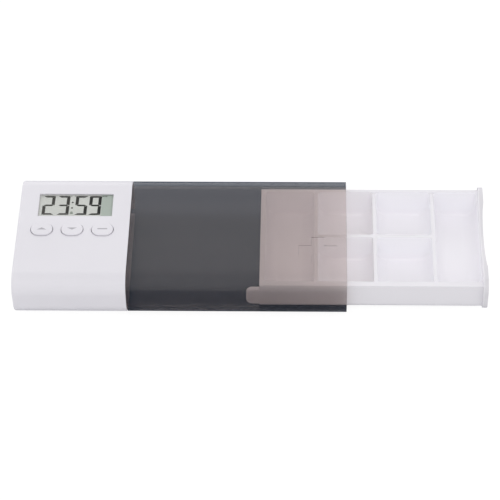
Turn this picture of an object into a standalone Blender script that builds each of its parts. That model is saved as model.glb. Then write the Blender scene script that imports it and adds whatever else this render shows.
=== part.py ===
"""Electronic pill box: a clock head, a smoky sleeve and a sliding tray with six compartments.

Lengths are in metres and +Z is up. Every size is worked out from X = 0 at the joint
between head and sleeve, Y = 0 at mid depth and Z = 0 on the table. The empties then set
the whole part on its origin, the middle of its footprint with the tray drawn out.
"""
import math

import bmesh
import bpy
from mathutils import Matrix, Vector

# Clearances that all pieces share
SEAT_GAP = 0.0003
OVERRUN = 0.001
MERGE_DISTANCE = 0.00001

# Clock head: its walls; its length, depth and height follow from what it holds
HEAD_CORNER = 0.0075
HEAD_WALL = 0.002
HEAD_END_EDGE = 0.0009
HEAD_STEP = 0.0001
SEAM_RISE = 0.0002
COVER_FLOOR = 0.0016

# Sleeve, lapped into the head by a thin spigot
SLEEVE_LENGTH = 0.0925
SLEEVE_WALL = 0.0018
SPIGOT_LENGTH = 0.0038
SPIGOT_INSET = 0.001
PLUS_LENGTH = 0.0162
PLUS_WIDTH = 0.0151
PLUS_ARM = 0.0054
PLUS_RELIEF = 0.0006
PLUS_FROM_MOUTH = 0.0123
PLUS_FROM_MIDDLE = 0.0126
STOP_LENGTH = 0.002
STOP_WIDTH = 0.004
STOP_HEIGHT = 0.0006
STOP_FROM_MOUTH = 0.0029

# Tray
TRAY_SIDE_GAP = 0.0024
TRAY_TOP_GAP = 0.0029
TRAY_WALL = 0.0026
TRAY_REAR_WALL = 0.0013
TRAY_END_WALL = 0.002
TRAY_FLOOR = 0.0014
TRAY_BOTTOM_CORNER = 0.0035
TRAY_OVERHANG = 0.0033
DIVIDER = 0.0014
DIVIDER_DROP = 0.0004
DIVIDER_SHIFT = 0.001
FIRST_ROOM = 0.0211
SMALL_ROOM = 0.02365
ROOM_SCOOP = 0.006
ROOM_FILLET = 0.0012
ROOM_LEAN = 0.0016
TRAY_OPEN_TRAVEL = 0.024
TRAY_DRAWN_OUT = 0.0591
PLATE_THICKNESS = 0.002
PLATE_SKIN = 0.0005
PLATE_DIP = 0.0021
PLATE_DIP_FROM_CORNER = 0.003
THUMB_DISH_DEPTH = 0.0008
THUMB_DISH_HALF = 0.019
THUMB_DISH_HEIGHT = 0.012
TONGUE_LENGTH = 0.0056
TONGUE_THICKNESS = 0.002
TONGUE_LOW = 0.0046
TONGUE_HIGH = 0.013
TONGUE_CORNER = 0.0028
TONGUE_INSET = 0.0003
STOP_SLOT_DEPTH = 0.0008

# Bulkhead between head and sleeve, with a pocket that takes the tray's tongue
BULKHEAD_THICKNESS = 0.0015
BULKHEAD_RUN_IN = 0.0008
POCKET_WALL = 0.001
POCKET_CLEARANCE = 0.0004
POCKET_END_CLEARANCE = 0.0007

# Display
WINDOW_LENGTH = 0.0319
WINDOW_WIDTH = 0.0132
WINDOW_LIP = 0.0007
LENS_THICKNESS = 0.0004
CELL_THICKNESS = 0.0016
CELL_SIDE_MARGIN = 0.0008
CELL_EDGE_MARGIN = 0.0016
HOLDER_WALL = 0.0008
HOLDER_LEDGE = 0.0022
HOLDER_FROM_BULKHEAD = 0.0004
HOLDER_FROM_END = 0.0005
STRIP_WIDTH = 0.0016
STRIP_INSET = 0.0035

# Buttons and their switches
BUTTON_LENGTH = 0.0092
BUTTON_WIDTH = 0.0071
BUTTON_SPACING = 0.00375
BUTTON_FROM_BULKHEAD = 0.00045
BUTTON_FROM_END = 0.001
BUTTON_TO_HOLDER = 0.00095
BUTTON_PROUD = 0.0006
BUTTON_TRAVEL = 0.0005
BUTTON_SIDE_GAP = 0.00025
BUTTON_FLANGE = 0.0008
FLANGE_THICKNESS = 0.0006
BUTTON_EDGE = 0.00035
SWITCH_SIDE = 0.0048
SWITCH_HEIGHT = 0.002
STEM_RADIUS = 0.00115
STEM_LENGTH = 0.001

# Circuit board and what it carries
BOARD_THICKNESS = 0.0012
BOARD_CORNER = 0.001
BOARD_SIDE_GAP = 0.0004
BOARD_FRONT_MARGIN = 0.0025
BOARD_REAR_MARGIN = 0.0026
BUZZER_RADIUS = 0.007
BUZZER_HEADROOM = 0.0007
BUZZER_PORT_RADIUS = 0.0009
BUZZER_PORT_DEPTH = 0.0008
BUZZER_TO_BUTTONS = 0.001
BUZZER_FROM_BOARD_EDGE = 0.0015
CHIP_CLEARANCE = 0.0004
CHIP_HEIGHT = 0.0012
CRYSTAL_RADIUS = 0.001
CRYSTAL_LENGTH = 0.006

# Two AAA cells side by side in their bay, and its sprung contacts
CELL_RADIUS = 0.00525
BATTERY_LENGTH = 0.0445
NUB_RADIUS = 0.0019
NUB_LENGTH = 0.001
BATTERY_SPACING = 0.0005
BAY_WALL = 0.001
BAY_ROOF = 0.0008
LEAD_SPACE = 0.004
CONTACT_THICKNESS = 0.0004
CONTACT_EDGE_MARGIN = 0.001
CONTACT_SIDE_MARGIN = 0.0007
SPRING_LENGTH = 0.0042
SPRING_WIRE_RADIUS = 0.00025
SPRING_BASE_RADIUS = 0.0036
SPRING_TIP_RADIUS = 0.002
SPRING_TURNS = 4
LEAD_RADIUS = 0.0005
LEAD_BEND = 0.0016

# Battery door, which slides out to the rear
DOOR_RECESS = 0.0002
DOOR_THICKNESS = 0.0014
DOOR_SIDE_MARGIN = 0.00025
DOOR_FLANGE = 0.0009
DOOR_FLANGE_THICKNESS = 0.0006
GRIP_COUNT = 5
GRIP_LENGTH = 0.012
GRIP_WIDTH = 0.0008
GRIP_PITCH = 0.0018
GRIP_DEPTH = 0.0003
GRIP_FROM_REAR = 0.009

# Case screws, from below through the cover and the board into the top shell
POST_RADIUS = 0.0026
POST_TO_BAY_RIGHT = 0.0021
POST_TO_BAY_LEFT = 0.0007
POST_TO_HOLDER = 0.0008
SCREW_RADIUS = 0.0008
SCREW_HEAD_RADIUS = 0.0015
SCREW_HEAD_HEIGHT = 0.0012
SCREW_HEAD_DEPTH = 0.005
SCREW_BITE = 0.0025
POST_TO_END = 0.0002
SCREW_FROM_BULKHEAD = 0.0038
POST_FROM_POCKET = 0.0019
SCREW_REAR_INSET = 0.0041
SOUND_HOLES = 5
SOUND_HOLE_RADIUS = 0.0007
SOUND_HOLE_PITCH = 0.004

# Smoothness of round shapes
CORNER_STEPS = 7
SMALL_STEPS = 4
ROUND_SIDES = 24
SMALL_SIDES = 12

# Heights, from the door below the cells up to the button caps
BATTERY_BOTTOM = DOOR_RECESS + DOOR_THICKNESS + SEAT_GAP
BATTERY_HEIGHT = BATTERY_BOTTOM + CELL_RADIUS
BAY_CEILING = BATTERY_BOTTOM + 2 * CELL_RADIUS + SEAT_GAP
CONTACT_HEIGHT = 2 * (CELL_RADIUS - CONTACT_EDGE_MARGIN)
BOARD_BOTTOM = BAY_CEILING + BAY_ROOF + SEAT_GAP
BOARD_TOP = BOARD_BOTTOM + BOARD_THICKNESS
SEAT_ON_BOARD = BOARD_TOP + SEAT_GAP
SWITCH_TOP = SEAT_ON_BOARD + SWITCH_HEIGHT
FLANGE_BOTTOM = SWITCH_TOP + SEAT_GAP + BUTTON_TRAVEL
FLANGE_TOP = FLANGE_BOTTOM + FLANGE_THICKNESS
HEAD_CEILING = FLANGE_TOP + SEAT_GAP
HEAD_HEIGHT = HEAD_CEILING + HEAD_WALL
BUZZER_HEIGHT = HEAD_CEILING - BUZZER_HEADROOM - SEAT_ON_BOARD
STEM_TOP = FLANGE_BOTTOM - SEAT_GAP
STEM_BOTTOM = STEM_TOP - STEM_LENGTH
STEM_BORE_BOTTOM = STEM_BOTTOM - BUTTON_TRAVEL - SEAT_GAP
DISPLAY_TOP = HEAD_HEIGHT - WINDOW_LIP - SEAT_GAP
CELL_BOTTOM = DISPLAY_TOP - CELL_THICKNESS
SEAM_HEIGHT = HEAD_WALL + SEAM_RISE
COVER_TOP = SEAM_HEIGHT - SEAT_GAP / 2
SCREW_TIP = SEAT_ON_BOARD + SCREW_BITE

# Depths: the bay with its cells and contacts, and above it the row of display, buttons and
# buzzer between the screw posts. The deeper of the two sets how far apart the walls stand.
BAY_HALF_SPAN = (BATTERY_LENGTH + SPRING_LENGTH + 2 * CONTACT_THICKNESS + 5 * SEAT_GAP) / 2
BAY_HALF_DEPTH = BAY_HALF_SPAN + BAY_WALL + LEAD_SPACE
CELL_DEPTH = WINDOW_WIDTH + 2 * CELL_EDGE_MARGIN
HOLDER_DEPTH = CELL_DEPTH + 2 * (SEAT_GAP + HOLDER_WALL)
CHIP_RADIUS = CELL_DEPTH / 2 - STRIP_INSET - HOLDER_WALL - SEAT_GAP - CHIP_CLEARANCE
BUTTON_DEPTH = BUTTON_WIDTH + 2 * BUTTON_FLANGE
REAR_POST_DEPTH = SCREW_REAR_INSET + POST_RADIUS + POST_TO_HOLDER
TRAY_TO_WALL = SLEEVE_WALL + TRAY_SIDE_GAP + HEAD_STEP - HEAD_WALL
POCKET_TO_WALL = TRAY_TO_WALL + TONGUE_INSET + TONGUE_THICKNESS + POCKET_CLEARANCE + POCKET_WALL
SCREW_FRONT_INSET = POCKET_TO_WALL + POST_FROM_POCKET + POST_RADIUS
BOARD_FRONT_INSET = SCREW_FRONT_INSET - BOARD_FRONT_MARGIN
BUZZER_DEPTH = BUZZER_TO_BUTTONS + 2 * BUZZER_RADIUS + BUZZER_FROM_BOARD_EDGE
ROW_DEPTH = REAR_POST_DEPTH + HOLDER_DEPTH + BUTTON_TO_HOLDER + BUTTON_DEPTH + BUZZER_DEPTH
INNER_HALF_DEPTH = max(BAY_HALF_DEPTH, (ROW_DEPTH + BOARD_FRONT_INSET) / 2)
HEAD_HALF_DEPTH = INNER_HALF_DEPTH + HEAD_WALL
HEAD_DEPTH = 2 * HEAD_HALF_DEPTH
SLEEVE_HALF_DEPTH = HEAD_HALF_DEPTH - HEAD_STEP
SLEEVE_TOP = HEAD_HEIGHT - HEAD_STEP
SLEEVE_CORNER = HEAD_CORNER - HEAD_STEP
TRAY_HALF_DEPTH = SLEEVE_HALF_DEPTH - SLEEVE_WALL - TRAY_SIDE_GAP
TRAY_BOTTOM = SLEEVE_WALL + SEAT_GAP
TRAY_RIM = SLEEVE_TOP - SLEEVE_WALL - TRAY_TOP_GAP

# Places along the length, from the joint leftwards through the head
HEAD_MOUTH = -SEAT_GAP / 2
SLEEVE_SHOULDER = SEAT_GAP / 2
SPIGOT_END = -SPIGOT_LENGTH
BULKHEAD_RIGHT = min(SPIGOT_END - SEAT_GAP, -TRAY_OVERHANG - BULKHEAD_RUN_IN)
BULKHEAD_LEFT = BULKHEAD_RIGHT - BULKHEAD_THICKNESS
DOOR_WAY_HALF = 2 * CELL_RADIUS + BATTERY_SPACING / 2 + DOOR_SIDE_MARGIN
BAY_HALF_WIDTH = DOOR_WAY_HALF + DOOR_FLANGE
BAY_OUTER_HALF = BAY_HALF_WIDTH + BAY_WALL
RIGHT_SCREWS = BULKHEAD_LEFT - SCREW_FROM_BULKHEAD
BAY_MIDDLE = RIGHT_SCREWS - POST_RADIUS - POST_TO_BAY_RIGHT - BAY_OUTER_HALF
LEFT_SCREWS = BAY_MIDDLE - BAY_OUTER_HALF - POST_TO_BAY_LEFT - POST_RADIUS
WINDOW_RIGHT = BULKHEAD_LEFT - HOLDER_FROM_BULKHEAD - HOLDER_WALL - SEAT_GAP - CELL_SIDE_MARGIN
HOLDER_LEFT = WINDOW_RIGHT - WINDOW_LENGTH - CELL_SIDE_MARGIN - SEAT_GAP - HOLDER_WALL
BUTTON_PITCH = BUTTON_LENGTH + BUTTON_SPACING
BUTTON_RIGHT = BULKHEAD_LEFT - BUTTON_FROM_BULKHEAD - BUTTON_FLANGE - BUTTON_LENGTH / 2
BUTTONS_LEFT = BUTTON_RIGHT - 2 * BUTTON_PITCH - BUTTON_LENGTH / 2 - BUTTON_FLANGE
POSTS_LEFT = LEFT_SCREWS - POST_RADIUS - POST_TO_END
INNER_LEFT = min(POSTS_LEFT, HOLDER_LEFT - HOLDER_FROM_END, BUTTONS_LEFT - BUTTON_FROM_END)
HEAD_LEFT = INNER_LEFT - HEAD_WALL

# Places along the length, through the tray as it lies drawn out
TRAY_LEFT = TRAY_DRAWN_OUT - TRAY_OVERHANG
PLATE_RIGHT = SLEEVE_LENGTH + TRAY_DRAWN_OUT
PLATE_LEFT = PLATE_RIGHT - PLATE_THICKNESS
TONGUE_TIP = TRAY_LEFT - TONGUE_LENGTH
MIDDLE_X = (HEAD_LEFT + PLATE_RIGHT) / 2


def linear(channel):
    """One sRGB channel from 0 to 1, made linear."""
    if channel <= 0.04045:
        return channel / 12.92
    return ((channel + 0.055) / 1.055) ** 2.4


def make_material(name, hex_colour, roughness, metallic=0.0, alpha=1.0):
    """A plain Principled material from an sRGB hex colour."""
    material = bpy.data.materials.new(name)
    material.use_nodes = True
    shader = material.node_tree.nodes["Principled BSDF"]
    channels = [int(hex_colour[i:i + 2], 16) / 255 for i in (0, 2, 4)]
    shader.inputs["Base Color"].default_value = [linear(c) for c in channels] + [1.0]
    shader.inputs["Roughness"].default_value = roughness
    shader.inputs["Metallic"].default_value = metallic
    shader.inputs["Alpha"].default_value = alpha
    return material


def make_collection(name):
    """A new collection in the scene."""
    collection = bpy.data.collections.new(name)
    bpy.context.scene.collection.children.link(collection)
    return collection


for old in list(bpy.data.objects):
    bpy.data.objects.remove(old, do_unlink=True)
PARTS = make_collection("electronic_pill_box")
CUTTERS = make_collection("cutters")

WHITE_ABS = make_material("white_abs", "E2E0E6", 0.35)
SMOKY_STYRENE = make_material("smoky_styrene", "4A4A4E", 0.12, alpha=0.5)
CLEAR_ACRYLIC = make_material("clear_acrylic", "E8ECEA", 0.08, alpha=0.35)
DISPLAY_GLASS = make_material("display_glass", "C4CCC4", 0.2)
GREY_PLASTIC = make_material("grey_plastic", "9A9A9E", 0.5)
GREEN_LAMINATE = make_material("green_laminate", "2F6B45", 0.45)
BLACK_PLASTIC = make_material("black_plastic", "202022", 0.5)
BLACK_EPOXY = make_material("black_epoxy", "151515", 0.25)
PINK_SILICONE = make_material("pink_silicone", "D9A7A0", 0.6)
PLATED_STEEL = make_material("plated_steel", "C8C8C4", 0.25, metallic=1.0)
BATTERY_SLEEVE = make_material("battery_sleeve", "3C4F63", 0.35)
RED_PVC = make_material("red_pvc", "A8201E", 0.5)
BLACK_PVC = make_material("black_pvc", "1C1C1E", 0.5)


def make_frame(name, x=0.0, y=0.0, z=0.0, parent=None):
    """An empty that carries pieces; the first one sets the part on its origin."""
    frame = bpy.data.objects.new(name, None)
    frame.location = (x, y, z)
    frame.parent = parent
    PARTS.objects.link(frame)
    return frame


def add_piece(name, mesh, material, frame, at=(0.0, 0.0, 0.0)):
    """A named piece whose mesh is measured in its frame."""
    piece = bpy.data.objects.new(name, mesh)
    piece.parent = frame
    piece.location = at
    mesh.materials.append(material)
    PARTS.objects.link(piece)
    return piece


def combine(piece, mesh, operation):
    """Add a Boolean with a mesh measured like the piece's own."""
    tool = bpy.data.objects.new(f"{piece.name}_{operation.lower()}", mesh)
    tool.parent = piece.parent
    tool.location = piece.location
    tool.hide_render = True
    tool.display_type = "WIRE"
    CUTTERS.objects.link(tool)
    modifier = piece.modifiers.new(tool.name, "BOOLEAN")
    modifier.operation = operation
    modifier.solver = "EXACT"
    modifier.object = tool
    return tool


def cut(piece, mesh):
    """Take a mesh away from a piece."""
    return combine(piece, mesh, "DIFFERENCE")


def join(piece, mesh):
    """Make a mesh one solid with a piece."""
    return combine(piece, mesh, "UNION")


def finish_mesh(shape, name):
    """Turn a bmesh into a mesh with faces out."""
    bmesh.ops.recalc_face_normals(shape, faces=shape.faces)
    mesh = bpy.data.meshes.new(name)
    shape.to_mesh(mesh)
    shape.free()
    return mesh


def box(low, high):
    """A box between two corners."""
    shape = bmesh.new()
    bmesh.ops.create_cube(shape, size=1.0)
    size = [b - a for a, b in zip(low, high)]
    middle = [(a + b) / 2 for a, b in zip(low, high)]
    bmesh.ops.scale(shape, vec=size, verts=shape.verts)
    bmesh.ops.translate(shape, vec=middle, verts=shape.verts)
    return finish_mesh(shape, "box")


def cylinder(radius, low, high, at=(0.0, 0.0), axis="Z", sides=ROUND_SIDES):
    """A round bar along an axis; `at` is its place on the two other axes, in X, Y, Z order."""
    shape = bmesh.new()
    bmesh.ops.create_cone(
        shape, cap_ends=True, segments=sides, radius1=radius, radius2=radius, depth=high - low
    )
    middle = (low + high) / 2
    if axis == "X":
        turn = Matrix.Rotation(math.radians(90), 4, "Y")
        place = (middle, at[0], at[1])
    elif axis == "Y":
        turn = Matrix.Rotation(math.radians(90), 4, "X")
        place = (at[0], middle, at[1])
    else:
        turn = Matrix.Identity(4)
        place = (at[0], at[1], middle)
    bmesh.ops.transform(shape, matrix=Matrix.Translation(place) @ turn, verts=shape.verts)
    return finish_mesh(shape, "cylinder")


def curve_to_mesh(curve):
    """The closed mesh of a curve, with its loose caps welded on."""
    guide = bpy.data.objects.new("guide", curve)
    CUTTERS.objects.link(guide)
    evaluated = guide.evaluated_get(bpy.context.evaluated_depsgraph_get())
    mesh = bpy.data.meshes.new_from_object(evaluated)
    bpy.data.objects.remove(guide, do_unlink=True)
    shape = bmesh.new()
    shape.from_mesh(mesh)
    bmesh.ops.remove_doubles(shape, verts=shape.verts, dist=MERGE_DISTANCE)
    return finish_mesh(shape, "from_curve")


def merge_flat_faces(mesh):
    """Join the triangles of a flat cap into one face, so that its rim can be beveled."""
    shape = bmesh.new()
    shape.from_mesh(mesh)
    flat = math.radians(0.05)
    bmesh.ops.dissolve_limit(shape, angle_limit=flat, verts=shape.verts, edges=shape.edges)
    shape.to_mesh(mesh)
    shape.free()


def plate(outline, low, high, axis="Z"):
    """A flat outline given thickness along an axis.

    The outline's points are (x, y) for a plate along Z, (y, z) along X and (z, x) along Y.
    """
    curve = bpy.data.curves.new("outline", "CURVE")
    curve.dimensions = "2D"
    curve.fill_mode = "BOTH"
    curve.extrude = (high - low) / 2
    spline = curve.splines.new("POLY")
    spline.points.add(len(outline) - 1)
    for point, (u, v) in zip(spline.points, outline):
        point.co = (u, v, 0.0, 1.0)
    spline.use_cyclic_u = True
    mesh = curve_to_mesh(curve)
    merge_flat_faces(mesh)
    turns = {
        "X": Matrix(((0, 0, 1, 0), (1, 0, 0, 0), (0, 1, 0, 0), (0, 0, 0, 1))),
        "Y": Matrix(((0, 1, 0, 0), (0, 0, 1, 0), (1, 0, 0, 0), (0, 0, 0, 1))),
        "Z": Matrix.Identity(4),
    }
    middle = (low + high) / 2
    shift = Vector([middle if axis == name else 0.0 for name in "XYZ"])
    mesh.transform(Matrix.Translation(shift) @ turns[axis])
    return mesh


def arc(centre_u, centre_v, radius, start, turn=90, steps=CORNER_STEPS):
    """Points along an arc, from a start angle in degrees."""
    angles = [math.radians(start + turn * i / steps) for i in range(steps + 1)]
    return [(centre_u + radius * math.cos(a), centre_v + radius * math.sin(a)) for a in angles]


def rounded(low, high, low_radius, high_radius=None, steps=CORNER_STEPS):
    """A rectangle with rounded corners: low_radius on the lower two, high_radius above."""
    if high_radius is None:
        high_radius = low_radius
    points = []
    corners = (
        (high[0], low[1], -1, 1, low_radius, -90),
        (high[0], high[1], -1, -1, high_radius, 0),
        (low[0], high[1], 1, -1, high_radius, 90),
        (low[0], low[1], 1, 1, low_radius, 180),
    )
    for u, v, side, up, radius, start in corners:
        if radius > 0:
            points += arc(u + side * radius, v + up * radius, radius, start, steps=steps)
        else:
            points.append((u, v))
    return points


def tube_outline(inset):
    """The head's outline across X, drawn in by a wall's thickness."""
    edge = HEAD_HALF_DEPTH - inset
    return rounded((-edge, inset), (edge, HEAD_HEIGHT - inset), HEAD_CORNER - inset)


def sleeve_outline(inset):
    """The sleeve's outline across X, drawn in by a wall's thickness."""
    edge = SLEEVE_HALF_DEPTH - inset
    return rounded((-edge, inset), (edge, SLEEVE_TOP - inset), SLEEVE_CORNER - inset)


def capsule(length, width, steps=CORNER_STEPS):
    """A slot-shaped outline about the origin, long in X."""
    reach = (length - width) / 2
    radius = width / 2
    return arc(reach, 0.0, radius, -90, 180, 2 * steps) + arc(-reach, 0.0, radius, 90, 180, 2 * steps)


def moved(outline, u, v):
    """An outline shifted in its own plane."""
    return [(a + u, b + v) for a, b in outline]


def round_edges(piece, radius, segments, weigh):
    """Bevel a piece's edges, by the share of the radius that a function gives their ends."""
    mesh = piece.data
    weights = mesh.attributes.new("bevel_weight_edge", "FLOAT", "EDGE")
    for edge in mesh.edges:
        first, second = [mesh.vertices[index].co for index in edge.vertices]
        weights.data[edge.index].value = weigh(first, second)
    bevel = piece.modifiers.new("rounded_edges", "BEVEL")
    bevel.width = radius
    bevel.segments = segments
    bevel.limit_method = "WEIGHT"


def turned(profile, sides=ROUND_SIDES, axis="Z"):
    """A profile of (radius, height) points from axis to axis, spun round Z, then laid along an axis."""
    shape = bmesh.new()
    points = [shape.verts.new((radius, 0.0, height)) for radius, height in profile]
    edges = [shape.edges.new(pair) for pair in zip(points, points[1:])]
    bmesh.ops.spin(
        shape, geom=points + edges, cent=(0.0, 0.0, 0.0), axis=(0.0, 0.0, 1.0), dvec=(0.0, 0.0, 0.0),
        angle=2 * math.pi, steps=sides, use_merge=True,
    )
    bmesh.ops.remove_doubles(shape, verts=shape.verts, dist=MERGE_DISTANCE)
    if axis == "Y":
        bmesh.ops.rotate(shape, matrix=Matrix.Rotation(math.radians(-90), 3, "X"), verts=shape.verts)
    elif axis == "-Y":
        bmesh.ops.rotate(shape, matrix=Matrix.Rotation(math.radians(90), 3, "X"), verts=shape.verts)
    return finish_mesh(shape, "turned")


def tube(name, points, radius, material, frame, resolution=1):
    """A round wire through points, as one closed mesh."""
    curve = bpy.data.curves.new(name, "CURVE")
    curve.dimensions = "3D"
    curve.bevel_depth = radius
    curve.bevel_resolution = resolution
    curve.use_fill_caps = True
    spline = curve.splines.new("POLY")
    spline.points.add(len(points) - 1)
    for point, place in zip(spline.points, points):
        point.co = (*place, 1.0)
    return add_piece(name, curve_to_mesh(curve), material, frame)


def screw_places():
    """The four case screws, near the head's corners and clear of the tongue's pocket."""
    front = -INNER_HALF_DEPTH + SCREW_FRONT_INSET
    rear = INNER_HALF_DEPTH - SCREW_REAR_INSET
    return [(x, y) for x in (LEFT_SCREWS, RIGHT_SCREWS) for y in (front, rear)]


def window_box():
    """Lowest and highest X and Y of the display window, in front of the rear screw posts."""
    rear = INNER_HALF_DEPTH - REAR_POST_DEPTH - (HOLDER_DEPTH - WINDOW_WIDTH) / 2
    return (WINDOW_RIGHT - WINDOW_LENGTH, rear - WINDOW_WIDTH), (WINDOW_RIGHT, rear)


def display_box(extra=0.0):
    """Lowest and highest X and Y of the display cell, which laps under the window's lip."""
    low, high = window_box()
    side = CELL_SIDE_MARGIN + extra
    edge = CELL_EDGE_MARGIN + extra
    return (low[0] - side, low[1] - edge), (high[0] + side, high[1] + edge)


def button_places():
    """Centres of the three buttons, from left to right."""
    y = INNER_HALF_DEPTH - REAR_POST_DEPTH - HOLDER_DEPTH - BUTTON_TO_HOLDER - BUTTON_DEPTH / 2
    return [(BUTTON_RIGHT - i * BUTTON_PITCH, y) for i in (2, 1, 0)]


def battery_places():
    """X of the two cells' axes."""
    offset = CELL_RADIUS + BATTERY_SPACING / 2
    return [BAY_MIDDLE - offset, BAY_MIDDLE + offset]


def lead_height():
    """Height at which the leads leave the battery bay."""
    return BATTERY_HEIGHT + CONTACT_HEIGHT / 3


def left_end(first, second):
    """Edges of the head's left end are rounded, and all others stay sharp."""
    return 1.0 if max(first.x, second.x) < HEAD_LEFT / 2 else 0.0


def build_top_shell(frame):
    """Top, walls and left end of the clock head, with its window, button holes and posts."""
    outer = plate(tube_outline(0.0), HEAD_LEFT, HEAD_MOUTH, "X")
    shell = add_piece("head_top_shell", outer, WHITE_ABS, frame)
    round_edges(shell, HEAD_END_EDGE, SMALL_STEPS - 1, left_end)
    cut(shell, plate(tube_outline(HEAD_WALL), HEAD_LEFT + HEAD_WALL, OVERRUN, "X"))
    lap = SPIGOT_INSET - SEAT_GAP + HEAD_STEP
    cut(shell, plate(tube_outline(lap), SPIGOT_END - SEAT_GAP, 2 * OVERRUN, "X"))
    for place in screw_places():
        relief = POST_RADIUS + SEAT_GAP
        cut(shell, cylinder(relief, SEAM_HEIGHT / 2, BOARD_BOTTOM, place))
        join(shell, cylinder(POST_RADIUS, SEAT_ON_BOARD, HEAD_CEILING + HEAD_WALL / 4, place))
        hole = SCREW_RADIUS + SEAT_GAP
        cut(shell, cylinder(hole, BOARD_TOP, SCREW_TIP + SEAT_GAP, place, sides=SMALL_SIDES))
    low, high = window_box()
    cut(shell, box((*low, HEAD_CEILING - OVERRUN), (*high, HEAD_HEIGHT + OVERRUN)))
    low, high = display_box(SEAT_GAP)
    cut(shell, box((*low, HEAD_CEILING - OVERRUN), (*high, HEAD_HEIGHT - WINDOW_LIP)))
    hole = capsule(BUTTON_LENGTH + 2 * BUTTON_SIDE_GAP, BUTTON_WIDTH + 2 * BUTTON_SIDE_GAP)
    for x, y in button_places():
        cut(shell, plate(moved(hole, x, y), HEAD_CEILING - OVERRUN, HEAD_HEIGHT + OVERRUN))
    under = (3 * OVERRUN, HEAD_DEPTH, SEAM_HEIGHT + SEAT_GAP / 2)
    cut(shell, box((HEAD_LEFT - OVERRUN, -HEAD_DEPTH, -OVERRUN), under))


def build_bottom_cover(frame):
    """Underside of the head, with the battery bay, screw tubes and sound holes."""
    outer = plate(tube_outline(0.0), HEAD_LEFT, HEAD_MOUTH, "X")
    cover = add_piece("head_bottom_cover", outer, WHITE_ABS, frame)
    round_edges(cover, HEAD_END_EDGE, SMALL_STEPS - 1, left_end)
    above = (OVERRUN, HEAD_DEPTH, HEAD_HEIGHT + OVERRUN)
    cut(cover, box((HEAD_LEFT - OVERRUN, -HEAD_DEPTH, COVER_TOP), above))
    flat = HEAD_HALF_DEPTH - HEAD_CORNER
    dish = (BULKHEAD_LEFT - SEAT_GAP, flat, COVER_TOP + OVERRUN)
    cut(cover, box((HEAD_LEFT + HEAD_WALL, -flat, COVER_FLOOR), dish))
    seat = (OVERRUN, HEAD_DEPTH, COVER_TOP + OVERRUN)
    cut(cover, box((SPIGOT_END - SEAT_GAP, -HEAD_DEPTH, SPIGOT_INSET - SEAT_GAP), seat))
    span = BAY_HALF_SPAN + BAY_WALL
    bay_low = (BAY_MIDDLE - BAY_OUTER_HALF, -span, COVER_FLOOR / 2)
    join(cover, box(bay_low, (BAY_MIDDLE + BAY_OUTER_HALF, span, BAY_CEILING + BAY_ROOF)))
    for place in screw_places():
        join(cover, cylinder(POST_RADIUS, COVER_FLOOR - SEAT_GAP, BOARD_BOTTOM - SEAT_GAP, place))
    lip = DOOR_RECESS + DOOR_THICKNESS - DOOR_FLANGE_THICKNESS - SEAT_GAP
    bay_high = (BAY_MIDDLE + BAY_HALF_WIDTH, BAY_HALF_SPAN, BAY_CEILING)
    cut(cover, box((BAY_MIDDLE - BAY_HALF_WIDTH, -BAY_HALF_SPAN, lip), bay_high))
    door_way = (BAY_MIDDLE + DOOR_WAY_HALF, HEAD_DEPTH, COVER_TOP)
    cut(cover, box((BAY_MIDDLE - DOOR_WAY_HALF, -BAY_HALF_SPAN, -OVERRUN), door_way))
    flange_way = (BAY_MIDDLE + BAY_HALF_WIDTH, HEAD_DEPTH + OVERRUN, COVER_TOP + SEAT_GAP)
    cut(cover, box((BAY_MIDDLE - BAY_HALF_WIDTH, BAY_HALF_SPAN / 2, lip), flange_way))
    for place in screw_places():
        recess = SCREW_HEAD_RADIUS + SEAT_GAP
        cut(cover, cylinder(recess, -OVERRUN, SCREW_HEAD_DEPTH, place))
        hole = SCREW_RADIUS + SEAT_GAP
        cut(cover, cylinder(hole, COVER_FLOOR, BOARD_TOP, place, sides=SMALL_SIDES))
    for i in range(SOUND_HOLES):
        place = (LEFT_SCREWS, (i - (SOUND_HOLES - 1) / 2) * SOUND_HOLE_PITCH)
        cut(cover, cylinder(SOUND_HOLE_RADIUS, -OVERRUN, 2 * COVER_FLOOR, place, sides=SMALL_SIDES))
    for x in battery_places():
        bore = LEAD_RADIUS + SEAT_GAP
        start = BAY_HALF_SPAN - OVERRUN
        cut(cover, cylinder(bore, start, span + OVERRUN, (x, lead_height()), "Y", SMALL_SIDES))


def build_door(frame):
    """Battery door, flush with the underside, with side flanges and grip grooves."""
    slide = make_frame("battery_door_axis", BAY_MIDDLE, parent=frame)
    half = DOOR_WAY_HALF - SEAT_GAP
    over = half + OVERRUN
    front = -BAY_HALF_SPAN + SEAT_GAP
    thick = DOOR_RECESS + DOOR_THICKNESS
    door = add_piece("battery_door", plate(tube_outline(0.0), -half, half, "X"), WHITE_ABS, slide)
    cut(door, box((-over, -HEAD_DEPTH, COVER_TOP), (over, HEAD_DEPTH, HEAD_DEPTH)))
    cut(door, box((-over, -HEAD_DEPTH, -OVERRUN), (over, HEAD_DEPTH, DOOR_RECESS)))
    cut(door, box((-over, -HEAD_DEPTH, -OVERRUN), (over, front, HEAD_HEIGHT)))
    rear = BAY_HALF_SPAN + BAY_WALL
    cut(door, box((-over, -HEAD_DEPTH, thick), (over, rear, HEAD_HEIGHT)))
    flange = half + DOOR_FLANGE
    flange_low = (-flange, front, thick - DOOR_FLANGE_THICKNESS)
    join(door, box(flange_low, (flange, BAY_HALF_SPAN - SEAT_GAP, thick)))
    last = HEAD_HALF_DEPTH - GRIP_FROM_REAR
    for i in range(GRIP_COUNT):
        y = last - i * GRIP_PITCH
        groove_low = (-GRIP_LENGTH / 2, y - GRIP_WIDTH / 2, -OVERRUN)
        groove_high = (GRIP_LENGTH / 2, y + GRIP_WIDTH / 2, DOOR_RECESS + GRIP_DEPTH)
        cut(door, box(groove_low, groove_high))


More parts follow.
